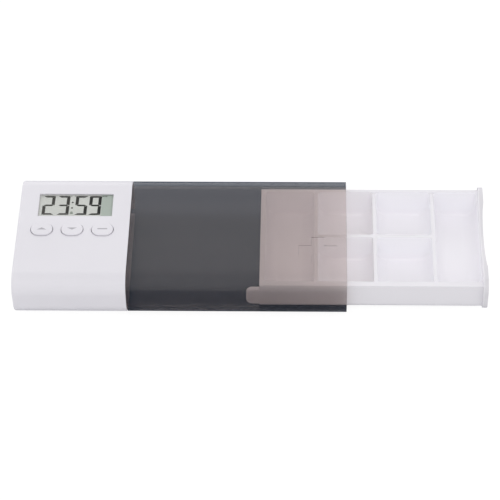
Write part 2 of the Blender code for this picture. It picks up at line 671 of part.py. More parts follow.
def build_sleeve(frame):
    """Smoky tube over the tray, with its spigot, raised plus and tray stop."""
    outer = plate(sleeve_outline(0.0), SLEEVE_SHOULDER, SLEEVE_LENGTH, "X")
    sleeve = add_piece("sleeve", outer, SMOKY_STYRENE, frame)
    join(sleeve, plate(sleeve_outline(SPIGOT_INSET), SPIGOT_END, SLEEVE_LENGTH / 2, "X"))
    middle_x = SLEEVE_LENGTH - PLUS_FROM_MOUTH
    root = SLEEVE_TOP - SLEEVE_WALL / 2
    for length, width in ((PLUS_LENGTH, PLUS_ARM), (PLUS_ARM, PLUS_WIDTH)):
        bar_low = (middle_x - length / 2, -PLUS_FROM_MIDDLE - width / 2, root)
        bar_high = (middle_x + length / 2, -PLUS_FROM_MIDDLE + width / 2, SLEEVE_TOP + PLUS_RELIEF)
        join(sleeve, box(bar_low, bar_high))
    inside = sleeve_outline(SLEEVE_WALL)
    cut(sleeve, plate(inside, SPIGOT_END - OVERRUN, SLEEVE_LENGTH + OVERRUN, "X"))
    right = SLEEVE_LENGTH - STOP_FROM_MOUTH
    stop_low = (right - STOP_LENGTH, -STOP_WIDTH / 2, SLEEVE_WALL / 2)
    join(sleeve, box(stop_low, (right, STOP_WIDTH / 2, SLEEVE_WALL + STOP_HEIGHT)))


def build_bulkhead(frame):
    """Wall that closes the head behind the tray, with the pocket for the tray's tongue."""
    pocket_end = TONGUE_TIP - TRAY_DRAWN_OUT - POCKET_END_CLEARANCE
    left = pocket_end - POCKET_WALL
    outline = tube_outline(HEAD_WALL + SEAT_GAP)
    bulkhead = add_piece("tray_bulkhead", plate(outline, left, BULKHEAD_RIGHT, "X"), WHITE_ABS, frame)
    outer = -TRAY_HALF_DEPTH + TONGUE_INSET - POCKET_CLEARANCE
    inner = outer + TONGUE_THICKNESS + 2 * POCKET_CLEARANCE
    low = TONGUE_LOW - POCKET_CLEARANCE
    high = TONGUE_HIGH + POCKET_CLEARANCE
    behind = (BULKHEAD_LEFT, HEAD_DEPTH, HEAD_HEIGHT)
    cut(bulkhead, box((left - OVERRUN, inner + POCKET_WALL, -OVERRUN), behind))
    cut(bulkhead, box((left - OVERRUN, -HEAD_DEPTH, high + POCKET_WALL), behind))
    cut(bulkhead, box((pocket_end, outer, low), (BULKHEAD_RIGHT + OVERRUN, inner, high)))


def build_display(frame):
    """Window lens, display cell, its holder and the two connector strips."""
    gap = SEAT_GAP
    low, high = window_box()
    lens_low = (low[0] + gap, low[1] + gap, DISPLAY_TOP + gap)
    lens_high = (high[0] - gap, high[1] - gap, DISPLAY_TOP + gap + LENS_THICKNESS)
    add_piece("display_lens", box(lens_low, lens_high), CLEAR_ACRYLIC, frame)
    low, high = display_box()
    add_piece("display_cell", box((*low, CELL_BOTTOM), (*high, DISPLAY_TOP)), DISPLAY_GLASS, frame)
    rim = gap + HOLDER_WALL
    rim_low = (low[0] - rim, low[1] - rim, SEAT_ON_BOARD)
    rim_high = (high[0] + rim, high[1] + rim, HEAD_CEILING - gap)
    holder = add_piece("display_holder", box(rim_low, rim_high), GREY_PLASTIC, frame)
    cell_low, cell_high = display_box(gap)
    cut(holder, box((*cell_low, CELL_BOTTOM - gap), (*cell_high, DISPLAY_TOP)))
    left = low[0] + HOLDER_LEDGE
    right = high[0] - HOLDER_LEDGE
    front_y = low[1] + STRIP_INSET - STRIP_WIDTH
    rear_y = high[1] - STRIP_INSET
    below = SEAT_ON_BOARD - OVERRUN
    rib = HOLDER_WALL + gap
    cut(holder, box((left, front_y + STRIP_WIDTH + rib, below), (right, rear_y - rib, DISPLAY_TOP)))
    for name, y in (("connector_strip_front", front_y), ("connector_strip_rear", rear_y)):
        slot_high = (right + gap, y + STRIP_WIDTH + gap, DISPLAY_TOP)
        cut(holder, box((left - gap, y - gap, below), slot_high))
        strip = box((left, y, SEAT_ON_BOARD), (right, y + STRIP_WIDTH, CELL_BOTTOM - gap))
        add_piece(name, strip, PINK_SILICONE, frame)


def build_board(frame):
    """Circuit board with its screw holes, and the parts soldered to it."""
    left = HEAD_LEFT + HEAD_WALL + BOARD_SIDE_GAP
    right = RIGHT_SCREWS + POST_RADIUS + SEAT_GAP
    front = -INNER_HALF_DEPTH + BOARD_FRONT_INSET
    rear = screw_places()[1][1] + BOARD_REAR_MARGIN
    outline = rounded((left, front), (right, rear), BOARD_CORNER, steps=SMALL_STEPS)
    board = add_piece("circuit_board", plate(outline, BOARD_BOTTOM, BOARD_TOP), GREEN_LAMINATE, frame)
    for place in screw_places():
        hole = SCREW_RADIUS + SEAT_GAP
        bore = cylinder(hole, BOARD_BOTTOM - OVERRUN, BOARD_TOP + OVERRUN, place, sides=SMALL_SIDES)
        cut(board, bore)
    button_x = button_places()[1][0]
    top = SEAT_ON_BOARD + BUZZER_HEIGHT
    port = top - BUZZER_PORT_DEPTH
    profile = [
        (0.0, port), (BUZZER_PORT_RADIUS, port), (BUZZER_PORT_RADIUS, top), (BUZZER_RADIUS, top),
        (BUZZER_RADIUS, SEAT_ON_BOARD), (0.0, SEAT_ON_BOARD),
    ]
    buzzer_at = (button_x - BUZZER_RADIUS / 2, front + BUZZER_FROM_BOARD_EDGE + BUZZER_RADIUS, 0.0)
    add_piece("buzzer", turned(profile), BLACK_PLASTIC, frame, buzzer_at)
    dome = arc(0.0, 0.0, CHIP_HEIGHT, 90, -90, SMALL_STEPS)
    widen = CHIP_RADIUS / CHIP_HEIGHT
    blob = [(u * widen, SEAT_ON_BOARD + v) for u, v in dome[1:]]
    blob = [(0.0, SEAT_ON_BOARD + CHIP_HEIGHT)] + blob + [(0.0, SEAT_ON_BOARD)]
    low, high = display_box()
    chip_at = ((low[0] + high[0]) / 2, (low[1] + high[1]) / 2, 0.0)
    add_piece("timer_chip", turned(blob), BLACK_EPOXY, frame, chip_at)
    reach = CRYSTAL_LENGTH / 2
    crystal_at = (button_x + BUZZER_RADIUS + 2 * CRYSTAL_RADIUS, SEAT_ON_BOARD + CRYSTAL_RADIUS)
    start, end = buzzer_at[1] - reach, buzzer_at[1] + reach
    crystal = cylinder(CRYSTAL_RADIUS, start, end, crystal_at, "Y", SMALL_SIDES)
    add_piece("quartz_crystal", crystal, PLATED_STEEL, frame)


def build_buttons(frame):
    """Three caps with their flanges, and the switch body and stem under each."""
    base = FLANGE_TOP - HEAD_HEIGHT
    outline = capsule(BUTTON_LENGTH, BUTTON_WIDTH)
    flange = capsule(BUTTON_LENGTH + 2 * BUTTON_FLANGE, BUTTON_WIDTH + 2 * BUTTON_FLANGE)
    stem = [(0.0, STEM_TOP), (STEM_RADIUS, STEM_TOP), (STEM_RADIUS, STEM_BOTTOM), (0.0, STEM_BOTTOM)]
    half = SWITCH_SIDE / 2
    for side, (x, y) in zip(("left", "middle", "right"), button_places()):
        press = make_frame(f"button_{side}_axis", x, y, HEAD_HEIGHT, frame)
        upright = plate(outline, base - FLANGE_THICKNESS / 2, BUTTON_PROUD)
        cap = add_piece(f"button_cap_{side}", upright, WHITE_ABS, press)
        round_edges(cap, BUTTON_EDGE, 2, lambda first, second: 1.0 if min(first.z, second.z) > 0 else 0.0)
        join(cap, plate(flange, base - FLANGE_THICKNESS, base))
        down = (0.0, 0.0, -HEAD_HEIGHT)
        add_piece(f"switch_stem_{side}", turned(stem, SMALL_SIDES), BLACK_PLASTIC, press, down)
        body = box((x - half, y - half, SEAT_ON_BOARD), (x + half, y + half, SWITCH_TOP))
        switch = add_piece(f"switch_body_{side}", body, BLACK_PLASTIC, frame)
        bore = cylinder(STEM_RADIUS + SEAT_GAP, STEM_BORE_BOTTOM, SWITCH_TOP + OVERRUN, (x, y))
        cut(switch, bore)


def spring_points(x, side, outside):
    """A conical coil that stands on a contact and narrows towards its cell."""
    points = []
    count = SPRING_TURNS * SMALL_SIDES
    start = outside - SPRING_WIRE_RADIUS
    rise = SPRING_LENGTH - 2 * SPRING_WIRE_RADIUS
    for i in range(count + 1):
        share = i / count
        angle = 2 * math.pi * SPRING_TURNS * share
        radius = SPRING_BASE_RADIUS + (SPRING_TIP_RADIUS - SPRING_BASE_RADIUS) * share
        y = side * (start - rise * share)
        points.append((x + radius * math.cos(angle), y, BATTERY_HEIGHT + radius * math.sin(angle)))
    return points


def lead_points(x):
    """A lead from its contact, out through the bay's wall and up to the board."""
    height = lead_height()
    bend_y = BAY_HALF_SPAN + BAY_WALL + SEAT_GAP
    bend = arc(bend_y, height + LEAD_BEND, LEAD_BEND, -90, steps=SMALL_STEPS)
    top = (bend[-1][0], BOARD_BOTTOM - SEAT_GAP)
    return [(x, y, z) for y, z in [(BAY_HALF_SPAN, height)] + bend + [top]]


def build_batteries(frame):
    """Two cells head to tail, their contacts, springs and leads."""
    outside = BAY_HALF_SPAN - SEAT_GAP
    inside = outside - CONTACT_THICKNESS
    negative = inside - SPRING_LENGTH - 2 * SEAT_GAP
    shoulder = BATTERY_LENGTH - NUB_LENGTH
    profile = [
        (0.0, BATTERY_LENGTH), (NUB_RADIUS, BATTERY_LENGTH), (NUB_RADIUS, shoulder),
        (CELL_RADIUS, shoulder), (CELL_RADIUS, 0.0), (0.0, 0.0),
    ]
    left, right = battery_places()
    to_rear = turned(profile, axis="Y")
    to_front = turned(profile, axis="-Y")
    add_piece("battery_left", to_rear, BATTERY_SLEEVE, frame, (left, -negative, BATTERY_HEIGHT))
    add_piece("battery_right", to_front, BATTERY_SLEEVE, frame, (right, negative, BATTERY_HEIGHT))
    half = CELL_RADIUS - CONTACT_SIDE_MARGIN
    low = BATTERY_HEIGHT - CONTACT_HEIGHT / 2
    high = BATTERY_HEIGHT + CONTACT_HEIGHT / 2
    bridge = box((left - half, -outside, low), (right + half, -inside, high))
    add_piece("battery_bridge", bridge, PLATED_STEEL, frame)
    for name, x in (("battery_contact_plus", left), ("battery_contact_minus", right)):
        contact = box((x - half, inside, low), (x + half, outside, high))
        add_piece(name, contact, PLATED_STEEL, frame)
    for name, x, side in (("battery_spring_front", left, -1), ("battery_spring_rear", right, 1)):
        points = spring_points(x, side, inside - SEAT_GAP)
        tube(name, points, SPRING_WIRE_RADIUS, PLATED_STEEL, frame)
    for name, x, material in (("lead_red", left, RED_PVC), ("lead_black", right, BLACK_PVC)):
        tube(name, lead_points(x), LEAD_RADIUS, material, frame)


def build_screws(frame):
    """Four case screws, head down in the cover's recesses."""
    head_top = SCREW_HEAD_DEPTH - SEAT_GAP
    head_bottom = head_top - SCREW_HEAD_HEIGHT
    profile = [
        (0.0, SCREW_TIP), (SCREW_RADIUS, SCREW_TIP - SCREW_RADIUS), (SCREW_RADIUS, head_top),
        (SCREW_HEAD_RADIUS, head_top), (SCREW_HEAD_RADIUS, head_bottom), (0.0, head_bottom),
    ]
    for i, (x, y) in enumerate(screw_places()):
        screw = turned(profile, SMALL_SIDES)
        add_piece(f"case_screw_{i + 1}", screw, PLATED_STEEL, frame, (x, y, 0.0))


def room_edges():
    """X where each row of compartments starts and ends, from the tray's left end."""
    first = TRAY_LEFT + TRAY_END_WALL
    second = first + FIRST_ROOM + DIVIDER
    third = second + SMALL_ROOM + DIVIDER
    fourth = third + SMALL_ROOM + DIVIDER
    return [
        (first, first + FIRST_ROOM), (second, second + SMALL_ROOM),
        (third, third + SMALL_ROOM), (fourth, PLATE_LEFT - PLATE_SKIN),
    ]


def rooms():
    """Low and high X and Y of the six compartments: the two middle rows are split in two."""
    front = TRAY_WALL - TRAY_HALF_DEPTH
    rear = TRAY_HALF_DEPTH - TRAY_REAR_WALL
    split = (DIVIDER_SHIFT - DIVIDER / 2, DIVIDER_SHIFT + DIVIDER / 2)
    first, second, third, fourth = room_edges()
    halves = [((row[0], low), (row[1], high)) for row in (second, third)
              for low, high in ((front, split[0]), (split[1], rear))]
    return [((first[0], front), (first[1], rear)), *halves, ((fourth[0], front), (fourth[1], rear))]


def scoop(low, high):
    """A compartment's hollow: its floor curves up to its sides, and its rear wall leans back."""
    top = HEAD_HEIGHT + OVERRUN
    floor = TRAY_BOTTOM + TRAY_FLOOR
    centre = floor + ROOM_SCOOP
    right = arc(centre, high[0] - ROOM_SCOOP, ROOM_SCOOP, 90)
    left = arc(centre, low[0] + ROOM_SCOOP, ROOM_SCOOP, 180)
    hollow = plate([(top, high[0])] + right + left + [(top, low[0])], low[1], high[1], "Y")
    for vertex in hollow.vertices:
        if vertex.co.y > (low[1] + high[1]) / 2:
            vertex.co.y += ROOM_LEAN * (vertex.co.z - TRAY_RIM) / (TRAY_RIM - floor)
    return hollow


def across_y(first, second):
    """Edges round a hollow's front and rear faces are softened, and those along Y are not."""
    return 1.0 if abs(first.y - second.y) < 2 * ROOM_LEAN + MERGE_DISTANCE else 0.0


def end_plate_outline():
    """The sleeve's inner outline less a running gap, with a finger dip in its top edge."""
    points = sleeve_outline(SLEEVE_WALL + SEAT_GAP)
    top = max(z for y, z in points)
    dip_half = SLEEVE_HALF_DEPTH - SLEEVE_CORNER - PLATE_DIP_FROM_CORNER
    count = 2 * CORNER_STEPS
    dip = []
    for i in range(count + 1):
        share = 1 - 2 * i / count
        dip.append((dip_half * share, top - PLATE_DIP * (1 + math.cos(math.pi * share)) / 2))
    upper_right_end = 2 * (CORNER_STEPS + 1)
    return points[:upper_right_end] + dip + points[upper_right_end:]


def build_tray(frame):
    """Tray with its compartments, end plate, tongue and the slot that meets the stop."""
    slide = make_frame("tray_slide_axis", parent=frame)
    half = TRAY_HALF_DEPTH
    outline = rounded((-half, TRAY_BOTTOM), (half, TRAY_RIM), TRAY_BOTTOM_CORNER, 0.0)
    trough = plate(outline, TRAY_LEFT, PLATE_LEFT + PLATE_THICKNESS / 2, "X")
    tray = add_piece("pill_tray", trough, WHITE_ABS, slide)
    join(tray, plate(end_plate_outline(), PLATE_LEFT, PLATE_RIGHT, "X"))
    root = TRAY_LEFT + TRAY_END_WALL / 2
    tab = rounded((TONGUE_LOW, TONGUE_TIP), (TONGUE_HIGH, root), TONGUE_CORNER, 0.0)
    outer = -half + TONGUE_INSET
    join(tray, plate(tab, outer, outer + TONGUE_THICKNESS, "Y"))
    stop_right = SLEEVE_LENGTH - STOP_FROM_MOUTH
    slot_left = stop_right - STOP_LENGTH - TRAY_OPEN_TRAVEL - SEAT_GAP
    slot_right = stop_right + TRAY_DRAWN_OUT + SEAT_GAP
    slot_half = STOP_WIDTH / 2 + SEAT_GAP
    slot_top = TRAY_BOTTOM + STOP_SLOT_DEPTH
    cut(tray, box((slot_left, -slot_half, -OVERRUN), (slot_right, slot_half, slot_top)))
    dish = bmesh.new()
    bmesh.ops.create_uvsphere(dish, u_segments=ROUND_SIDES, v_segments=SMALL_SIDES, radius=1.0)
    reach = (THUMB_DISH_DEPTH, THUMB_DISH_HALF, THUMB_DISH_HEIGHT)
    bmesh.ops.scale(dish, vec=reach, verts=dish.verts)
    bmesh.ops.translate(dish, vec=(PLATE_RIGHT, 0.0, TRAY_RIM), verts=dish.verts)
    cut(tray, finish_mesh(dish, "thumb_dish"))
    for low, high in rooms():
        room = cut(tray, scoop(low, high))
        round_edges(room, ROOM_FILLET, SMALL_STEPS - 1, across_y)
    low = (room_edges()[0][1] - OVERRUN, TRAY_WALL - half, TRAY_RIM - DIVIDER_DROP)
    high = (room_edges()[-1][0] + OVERRUN, half - TRAY_REAR_WALL, HEAD_HEIGHT)
    cut(tray, box(low, high))


def build_pill_box():
    """The whole box, standing on its origin with the tray drawn out."""
    housing = make_frame("pill_box_origin", -MIDDLE_X)
    build_top_shell(housing)
    build_bottom_cover(housing)
    build_door(housing)
    build_sleeve(housing)
    build_bulkhead(housing)
    build_display(housing)
    build_board(housing)
    build_buttons(housing)
    build_batteries(housing)
    build_screws(housing)
    build_tray(housing)
    for piece in PARTS.objects:
        if piece.type == "MESH":
            piece.data.shade_smooth()
            piece.data.set_sharp_from_angle(angle=math.radians(30))


build_pill_box()
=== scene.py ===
"""Looks of the electronic pill box: fine surfaces, materials, camera and light.

Lengths are in metres and angles in degrees. The pieces are measured as the part's source measures
them, from X = 0 at the joint between head and sleeve, and then shifted to the frame's origin,
MIDDLE_X to the right.
"""
import math

import bmesh
import bpy
from mathutils import Matrix, Vector


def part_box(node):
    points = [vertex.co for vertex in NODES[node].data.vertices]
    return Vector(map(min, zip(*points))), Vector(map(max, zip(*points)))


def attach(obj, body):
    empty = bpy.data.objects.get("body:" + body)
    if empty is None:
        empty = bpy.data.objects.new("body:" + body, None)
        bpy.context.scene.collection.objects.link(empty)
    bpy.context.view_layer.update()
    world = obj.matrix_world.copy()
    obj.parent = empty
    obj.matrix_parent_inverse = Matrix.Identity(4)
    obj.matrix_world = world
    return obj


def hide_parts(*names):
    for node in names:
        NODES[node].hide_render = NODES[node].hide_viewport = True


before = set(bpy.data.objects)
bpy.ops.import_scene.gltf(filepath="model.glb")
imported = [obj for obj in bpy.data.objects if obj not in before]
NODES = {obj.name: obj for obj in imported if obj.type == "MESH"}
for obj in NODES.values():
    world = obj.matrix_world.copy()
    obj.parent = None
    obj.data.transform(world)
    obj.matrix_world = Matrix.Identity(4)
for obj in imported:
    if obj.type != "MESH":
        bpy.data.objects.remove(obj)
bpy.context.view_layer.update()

# The frame's origin, measured from the joint
MIDDLE_X = 0.0518

# Shared clearances
SEAT_GAP = 0.0003
OVERRUN = 0.001
SAME_PLACE = 0.000001

# Clock head
HEAD_LEFT = -0.048
HEAD_HALF_DEPTH = 0.0325
HEAD_HEIGHT = 0.021
HEAD_CORNER = 0.0075
HEAD_WALL = 0.002
HEAD_END_EDGE = 0.0009
HEAD_STEP = 0.0001
HEAD_CEILING = HEAD_HEIGHT - HEAD_WALL
SEAM_TOP = 0.00235
SPIGOT_LENGTH = 0.0038
SPIGOT_INSET = 0.001
WINDOW_LOW = (-0.0398, 0.0071)
WINDOW_HIGH = (-0.0079, 0.0203)
WINDOW_LIP = 0.0007
CELL_SIDE_MARGIN = 0.0008
CELL_EDGE_MARGIN = 0.0016
DISPLAY_TOP = 0.02
BUTTON_XS = (-0.03735, -0.0244, -0.01145)
BUTTON_Y = -0.0009
BUTTON_LENGTH = 0.0092
BUTTON_WIDTH = 0.0071
BUTTON_PROUD = 0.0006
BUTTON_SIDE_GAP = 0.00025
BUTTON_FLANGE = 0.0008
BUTTON_EDGE = 0.0004
FLANGE_TOP = 0.0187
FLANGE_THICKNESS = 0.0006

# Sleeve
SLEEVE_LENGTH = 0.0925
SLEEVE_WALL = 0.0018
SLEEVE_HALF_DEPTH = HEAD_HALF_DEPTH - HEAD_STEP
SLEEVE_TOP = HEAD_HEIGHT - HEAD_STEP
SLEEVE_CORNER = HEAD_CORNER - HEAD_STEP
PLUS_MIDDLE = (0.0802, -0.0126)
PLUS_LENGTH = 0.0162
PLUS_WIDTH = 0.0151
PLUS_ARM = 0.0054
PLUS_RELIEF = 0.0006
STOP_RIGHT = 0.0896
STOP_LENGTH = 0.002
STOP_WIDTH = 0.004
STOP_HEIGHT = 0.0006

# Tray, drawn out as in the photograph
TRAY_LEFT = 0.0558
PLATE_LEFT = 0.1496
PLATE_RIGHT = 0.1516
TRAY_HALF_DEPTH = 0.0282
TRAY_BOTTOM = 0.0021
TRAY_RIM = 0.0162
TRAY_BOTTOM_CORNER = 0.0035
TRAY_WALL = 0.0026
TRAY_REAR_WALL = 0.0013
TRAY_FLOOR = 0.0014
DIVIDER = 0.0014
DIVIDER_DROP = 0.0004
DIVIDER_SHIFT = 0.001
ROOM_SCOOP = 0.006
ROOM_FILLET = 0.0012
ROOM_LEAN = 0.0016
ROOM_ROWS = ((0.0578, 0.0789), (0.0803, 0.10395), (0.10535, 0.129), (0.1304, 0.1491))
PLATE_DIP = 0.0021
PLATE_DIP_HALF = 0.022
DISH_DEPTH = 0.0008
DISH_HALF = 0.019
DISH_HEIGHT = 0.012
TONGUE_TIP = 0.0502
TONGUE_THICKNESS = 0.002
TONGUE_LOW = 0.0046
TONGUE_HIGH = 0.013
TONGUE_CORNER = 0.0028
TONGUE_INSET = 0.0003
SLOT_LEFT = 0.0633
SLOT_RIGHT = 0.149
SLOT_HALF = 0.0023
SLOT_DEPTH = 0.0008

# The display: a digit's size, the left edge and lit bars of each, the colon and the small marks
DIGIT_WIDTH = 0.0052
DIGIT_LOW = 0.0087
DIGIT_HEIGHT = 0.0112
DIGIT_LEAN = 0.02
DIGIT_XS = (-0.0384, -0.032, -0.0243, -0.01835)
DIGIT_BARS = ("abged", "abgcd", "afgcd", "abcdfg")
SEGMENT_UPRIGHT = 0.00136
SEGMENT_FLAT = 0.00092
SEGMENT_GAP = 0.00008
SEGMENT_THICKNESS = 0.00003
COLON_X = -0.02555
COLON_YS = (0.0128, 0.01605)
COLON_RADIUS = 0.00042
SMALL_MARK_Y = 0.01985
SMALL_DOT_XS = (-0.0261, -0.02455)
SMALL_DOT = 0.0002
SMALL_BARS = ((-0.0128, -0.0119), (-0.0116, -0.0107))
BELL_X = -0.02555
BELL_Y = 0.0091
BELL = (
    (-0.0009, 0.0), (0.0009, 0.0), (0.0006, 0.0004), (0.0006, 0.0011), (0.0003, 0.0016),
    (-0.0003, 0.0016), (-0.0006, 0.0011), (-0.0006, 0.0004),
)

# Marks on the buttons and how far ink stands up
MARK_HALF = 0.0021
MARK_DEPTH = 0.0012
INK_THICKNESS = 0.00002

# Case screws, as their geometry nodes take them
SCREW_SIZES = {
    "Head Radius": 0.0015, "Head Height": 0.0012, "Shank Radius": 0.0008, "Shank Length": 0.0127,
    "Recess Length": 0.0017, "Recess Width": 0.00038, "Recess Depth": 0.0012,
}
SCREW_COUNT = 4
SCREW_HEAD_SIDES = 48
SCREW_SHANK_SIDES = 24
SCREW_EDGE = 0.00015

# Smoothness: counts, softened edges, the angles from which an edge is softened or shows sharp, and
# how far large faces settle the shading of small ones
CORNER_STEPS = 20
SMALL_STEPS = 6
ROUND_SIDES = 64
DOT_SIDES = 24
MOULDED_EDGE = 0.00012
TRAY_EDGE = 0.00025
SOFTENED_ANGLE = 40
SHARP_ANGLE = 30
LARGE_FACE_WEIGHT = 100

# Grain of each finish, and how deep it is. Real grains are about a tenth as wide and too fine to
# show, so they are drawn this coarse
ABS_GRAIN = 0.00045
INNER_GRAIN = 0.00055
CHIP_GRAIN = 0.00038
INK_GRAIN = 0.00033
MILKY_GRAIN = 0.00067
PLATED_GRAIN = 0.00067
RUBBER_GRAIN = 0.00083
SMOOTH_GRAIN = 0.0011
LACQUER_GRAIN = 0.0014
MOULDED_DEPTH = 0.00002
SMOOTH_DEPTH = 0.00001
FILM_DEPTH = 0.000005
RUBBER_DEPTH = 0.00003

# How strong and how crisp every grain is
GRAIN_STRENGTH = 0.35
GRAIN_DETAIL = 3.0
GRAIN_CRISPNESS = 0.55

# Clouds of roughness and colour, a few centimetres across, and where two colours meet in them
CLOUD_SIZE = 0.026
CLOUD_DETAIL = 2.0
CLOUD_SHARES = (0.3, 0.7)

# Sockets of a Mix node that hold a colour mix
FACTOR, FIRST, SECOND, MIXED = 0, 6, 7, 2

# Clear plastic's shine: the share of light it mirrors head on, and how fast that grows at a slant
HEAD_ON_SHINE = 0.04
SHINE_POWER = 5.0

# The smoke's tint, in the frame: up to which height painted shade makes it deeper, and from which X
# painted light makes it thinner
SMOKE_LOW_BAND = (0.0165, 0.0188)
SMOKE_LOW_PAINTED_SHADE = 0.88
SMOKE_MOUTH_BAND = (0.008, 0.04)
SMOKE_MOUTH_PAINTED_LIGHT = 1.065

# A face of the relief whose normal leans this far to the rear or left is a far side. A face this
# close to the mouth whose normal leans this far to the right is the sleeve's end. Both get painted
# shade
FAR_SLOPE = 0.3
MOUTH_BAND = 0.0001
END_SLOPE = 0.6

# The tray's colours, with painted light and shade, and the bands, in the frame, where one runs into the
# next. Painted light makes the compartments' floors and walls paler than the rim, and painted shade
# darkens the outer sides and the end plate
TRAY_RIM_COLOURS = ("E6E4E9", "E9E7EC")
TRAY_SIDE_PAINTED_SHADE = "E6E4E9"
TRAY_PLATE_PAINTED_SHADE = "D9D7DC"
TRAY_FLOOR_PAINTED_LIGHT = "F7F5F9"
TRAY_WALL_PAINTED_LIGHT = "F8F7FB"
TRAY_FRONT_BAND = (TRAY_WALL - TRAY_HALF_DEPTH - 0.0006, TRAY_WALL - TRAY_HALF_DEPTH + 0.0002)
TRAY_REAR_BAND = (TRAY_HALF_DEPTH - 0.001, TRAY_HALF_DEPTH - 0.0004)
TRAY_RIM_BAND = (TRAY_RIM - 0.0017, TRAY_RIM - 0.0006)
TRAY_SLOPE_BAND = (0.3, 0.95)
TRAY_FLOOR_BAND = (TRAY_BOTTOM + 0.0021, TRAY_BOTTOM + 0.0059)
TRAY_SIDE_BAND = (TRAY_HALF_DEPTH - 0.0003, TRAY_HALF_DEPTH)
TRAY_PLATE_BAND = (PLATE_LEFT - MIDDLE_X, PLATE_LEFT - MIDDLE_X + 0.0006)

# X places, in the frame: where a painted reflection, paler to the left, gives way to the display's
# darker strip, and where the painted reflection on its digits fades
DISPLAY_PAINTED_REFLECTION_BAND = (-0.0652, -0.0644)
SEGMENT_PAINTED_REFLECTION_BAND = (-0.088, -0.066)

# A cell from the middle to its end, and its bands as shares of its length
BATTERY_REACH = 0.024
BATTERY_BANDS = (
    (0.0, "B9BBBD"), (0.045, "8E99A4"), (0.16, "2B3A52"), (0.84, "8E99A4"), (0.955, "B9BBBD"),
)

# The photograph's view
CAMERA_PLACE = Vector((0.02327, -0.65492, 0.71442))
CAMERA_PITCH = 47.16
CAMERA_YAW = -2.084
CAMERA_ROLL = -1.265
CAMERA_LENS = 161.45
CAMERA_SENSOR = 36.0
CAMERA_NEAR = 0.05
CAMERA_FAR = 20.0

# The studio. The sky brightens to the sides by SIDE_LIGHT, and low behind the box by BACK_LIGHT
FLOOR_HALF = 6.0
FLOOR_DROP = 0.0001
FLOOR_GLOW = 0.9
SKY = 0.5
SIDE_LIGHT = 0.8
BACK_LIGHT = 1.0
BACK_BAND = (0.5, 0.8)
BACK_TOP_BAND = (0.62, 0.8)
SOFTBOX = 0.27
SOFTBOX_WIDTH = 50
SOFTBOX_TILT = 35


def linear(hex_colour, alpha=1.0):
    """An sRGB hex colour as linear RGBA."""
    channels = [int(hex_colour[i:i + 2], 16) / 255 for i in (0, 2, 4)]
    return [c / 12.92 if c <= 0.04045 else ((c + 0.055) / 1.055) ** 2.4 for c in channels] + [alpha]


def add_node(tree, kind, inputs=(), **settings):
    """Add a node with its settings.

    Each input is a plain value, a socket that feeds it, or a node whose first output does.
    """
    node = tree.nodes.new(kind)
    for name, value in settings.items():
        setattr(node, name, value)
    for key, value in inputs.items() if isinstance(inputs, dict) else enumerate(inputs):
        if isinstance(value, bpy.types.Node):
            value = value.outputs[0]
        if isinstance(value, bpy.types.NodeSocket):
            tree.links.new(value, node.inputs[key])
        else:
            node.inputs[key].default_value = value
    return node


def object_place(tree):
    """The X, Y and Z of a point on the object."""
    place = add_node(tree, "ShaderNodeTexCoord").outputs["Object"]
    return add_node(tree, "ShaderNodeSeparateXYZ", (place,)).outputs


def new_material(name):
    """An empty material, its node tree and its Principled shader."""
    material = bpy.data.materials.new(name)
    material.use_nodes = True
    return material, material.node_tree, material.node_tree.nodes["Principled BSDF"]


def make_material(name, grain, depth, roughness, colours, values=None):
    """A finish with fine bumps of a grain's size and depth.

    Clouds lie between two roughnesses, and between two colours where two are given. A single
    roughness, with a single colour, has no clouds. Further socket values go by name.
    """
    material, tree, shader = new_material(name)
    for key, value in (values or {}).items():
        shader.inputs[key].default_value = value
    place = add_node(tree, "ShaderNodeTexCoord").outputs["Object"]
    noise = add_node(tree, "ShaderNodeTexNoise", {
        "Vector": place, "Scale": 1 / grain, "Detail": GRAIN_DETAIL, "Roughness": GRAIN_CRISPNESS,
    })
    bump = add_node(tree, "ShaderNodeBump", {
        "Height": noise.outputs["Fac"], "Strength": GRAIN_STRENGTH, "Distance": depth,
    })
    tree.links.new(bump.outputs["Normal"], shader.inputs["Normal"])
    if not isinstance(roughness, tuple):
        shader.inputs["Roughness"].default_value = roughness
        shader.inputs["Base Color"].default_value = linear(colours)
        return material
    cloud = add_node(tree, "ShaderNodeTexNoise", {
        "Vector": place, "Scale": 1 / CLOUD_SIZE, "Detail": CLOUD_DETAIL,
    }).outputs["Fac"]
    gloss = add_node(tree, "ShaderNodeMapRange", (cloud, 0.0, 1.0, *roughness))
    tree.links.new(gloss.outputs["Result"], shader.inputs["Roughness"])
    if isinstance(colours, tuple):
        ramp = add_node(tree, "ShaderNodeValToRGB", {"Fac": cloud})
        for element, position, colour in zip(ramp.color_ramp.elements, CLOUD_SHARES, colours):
            element.position = position
            element.color = linear(colour)
        tree.links.new(ramp.outputs["Color"], shader.inputs["Base Color"])
    else:
        shader.inputs["Base Color"].default_value = linear(colours)
    return material


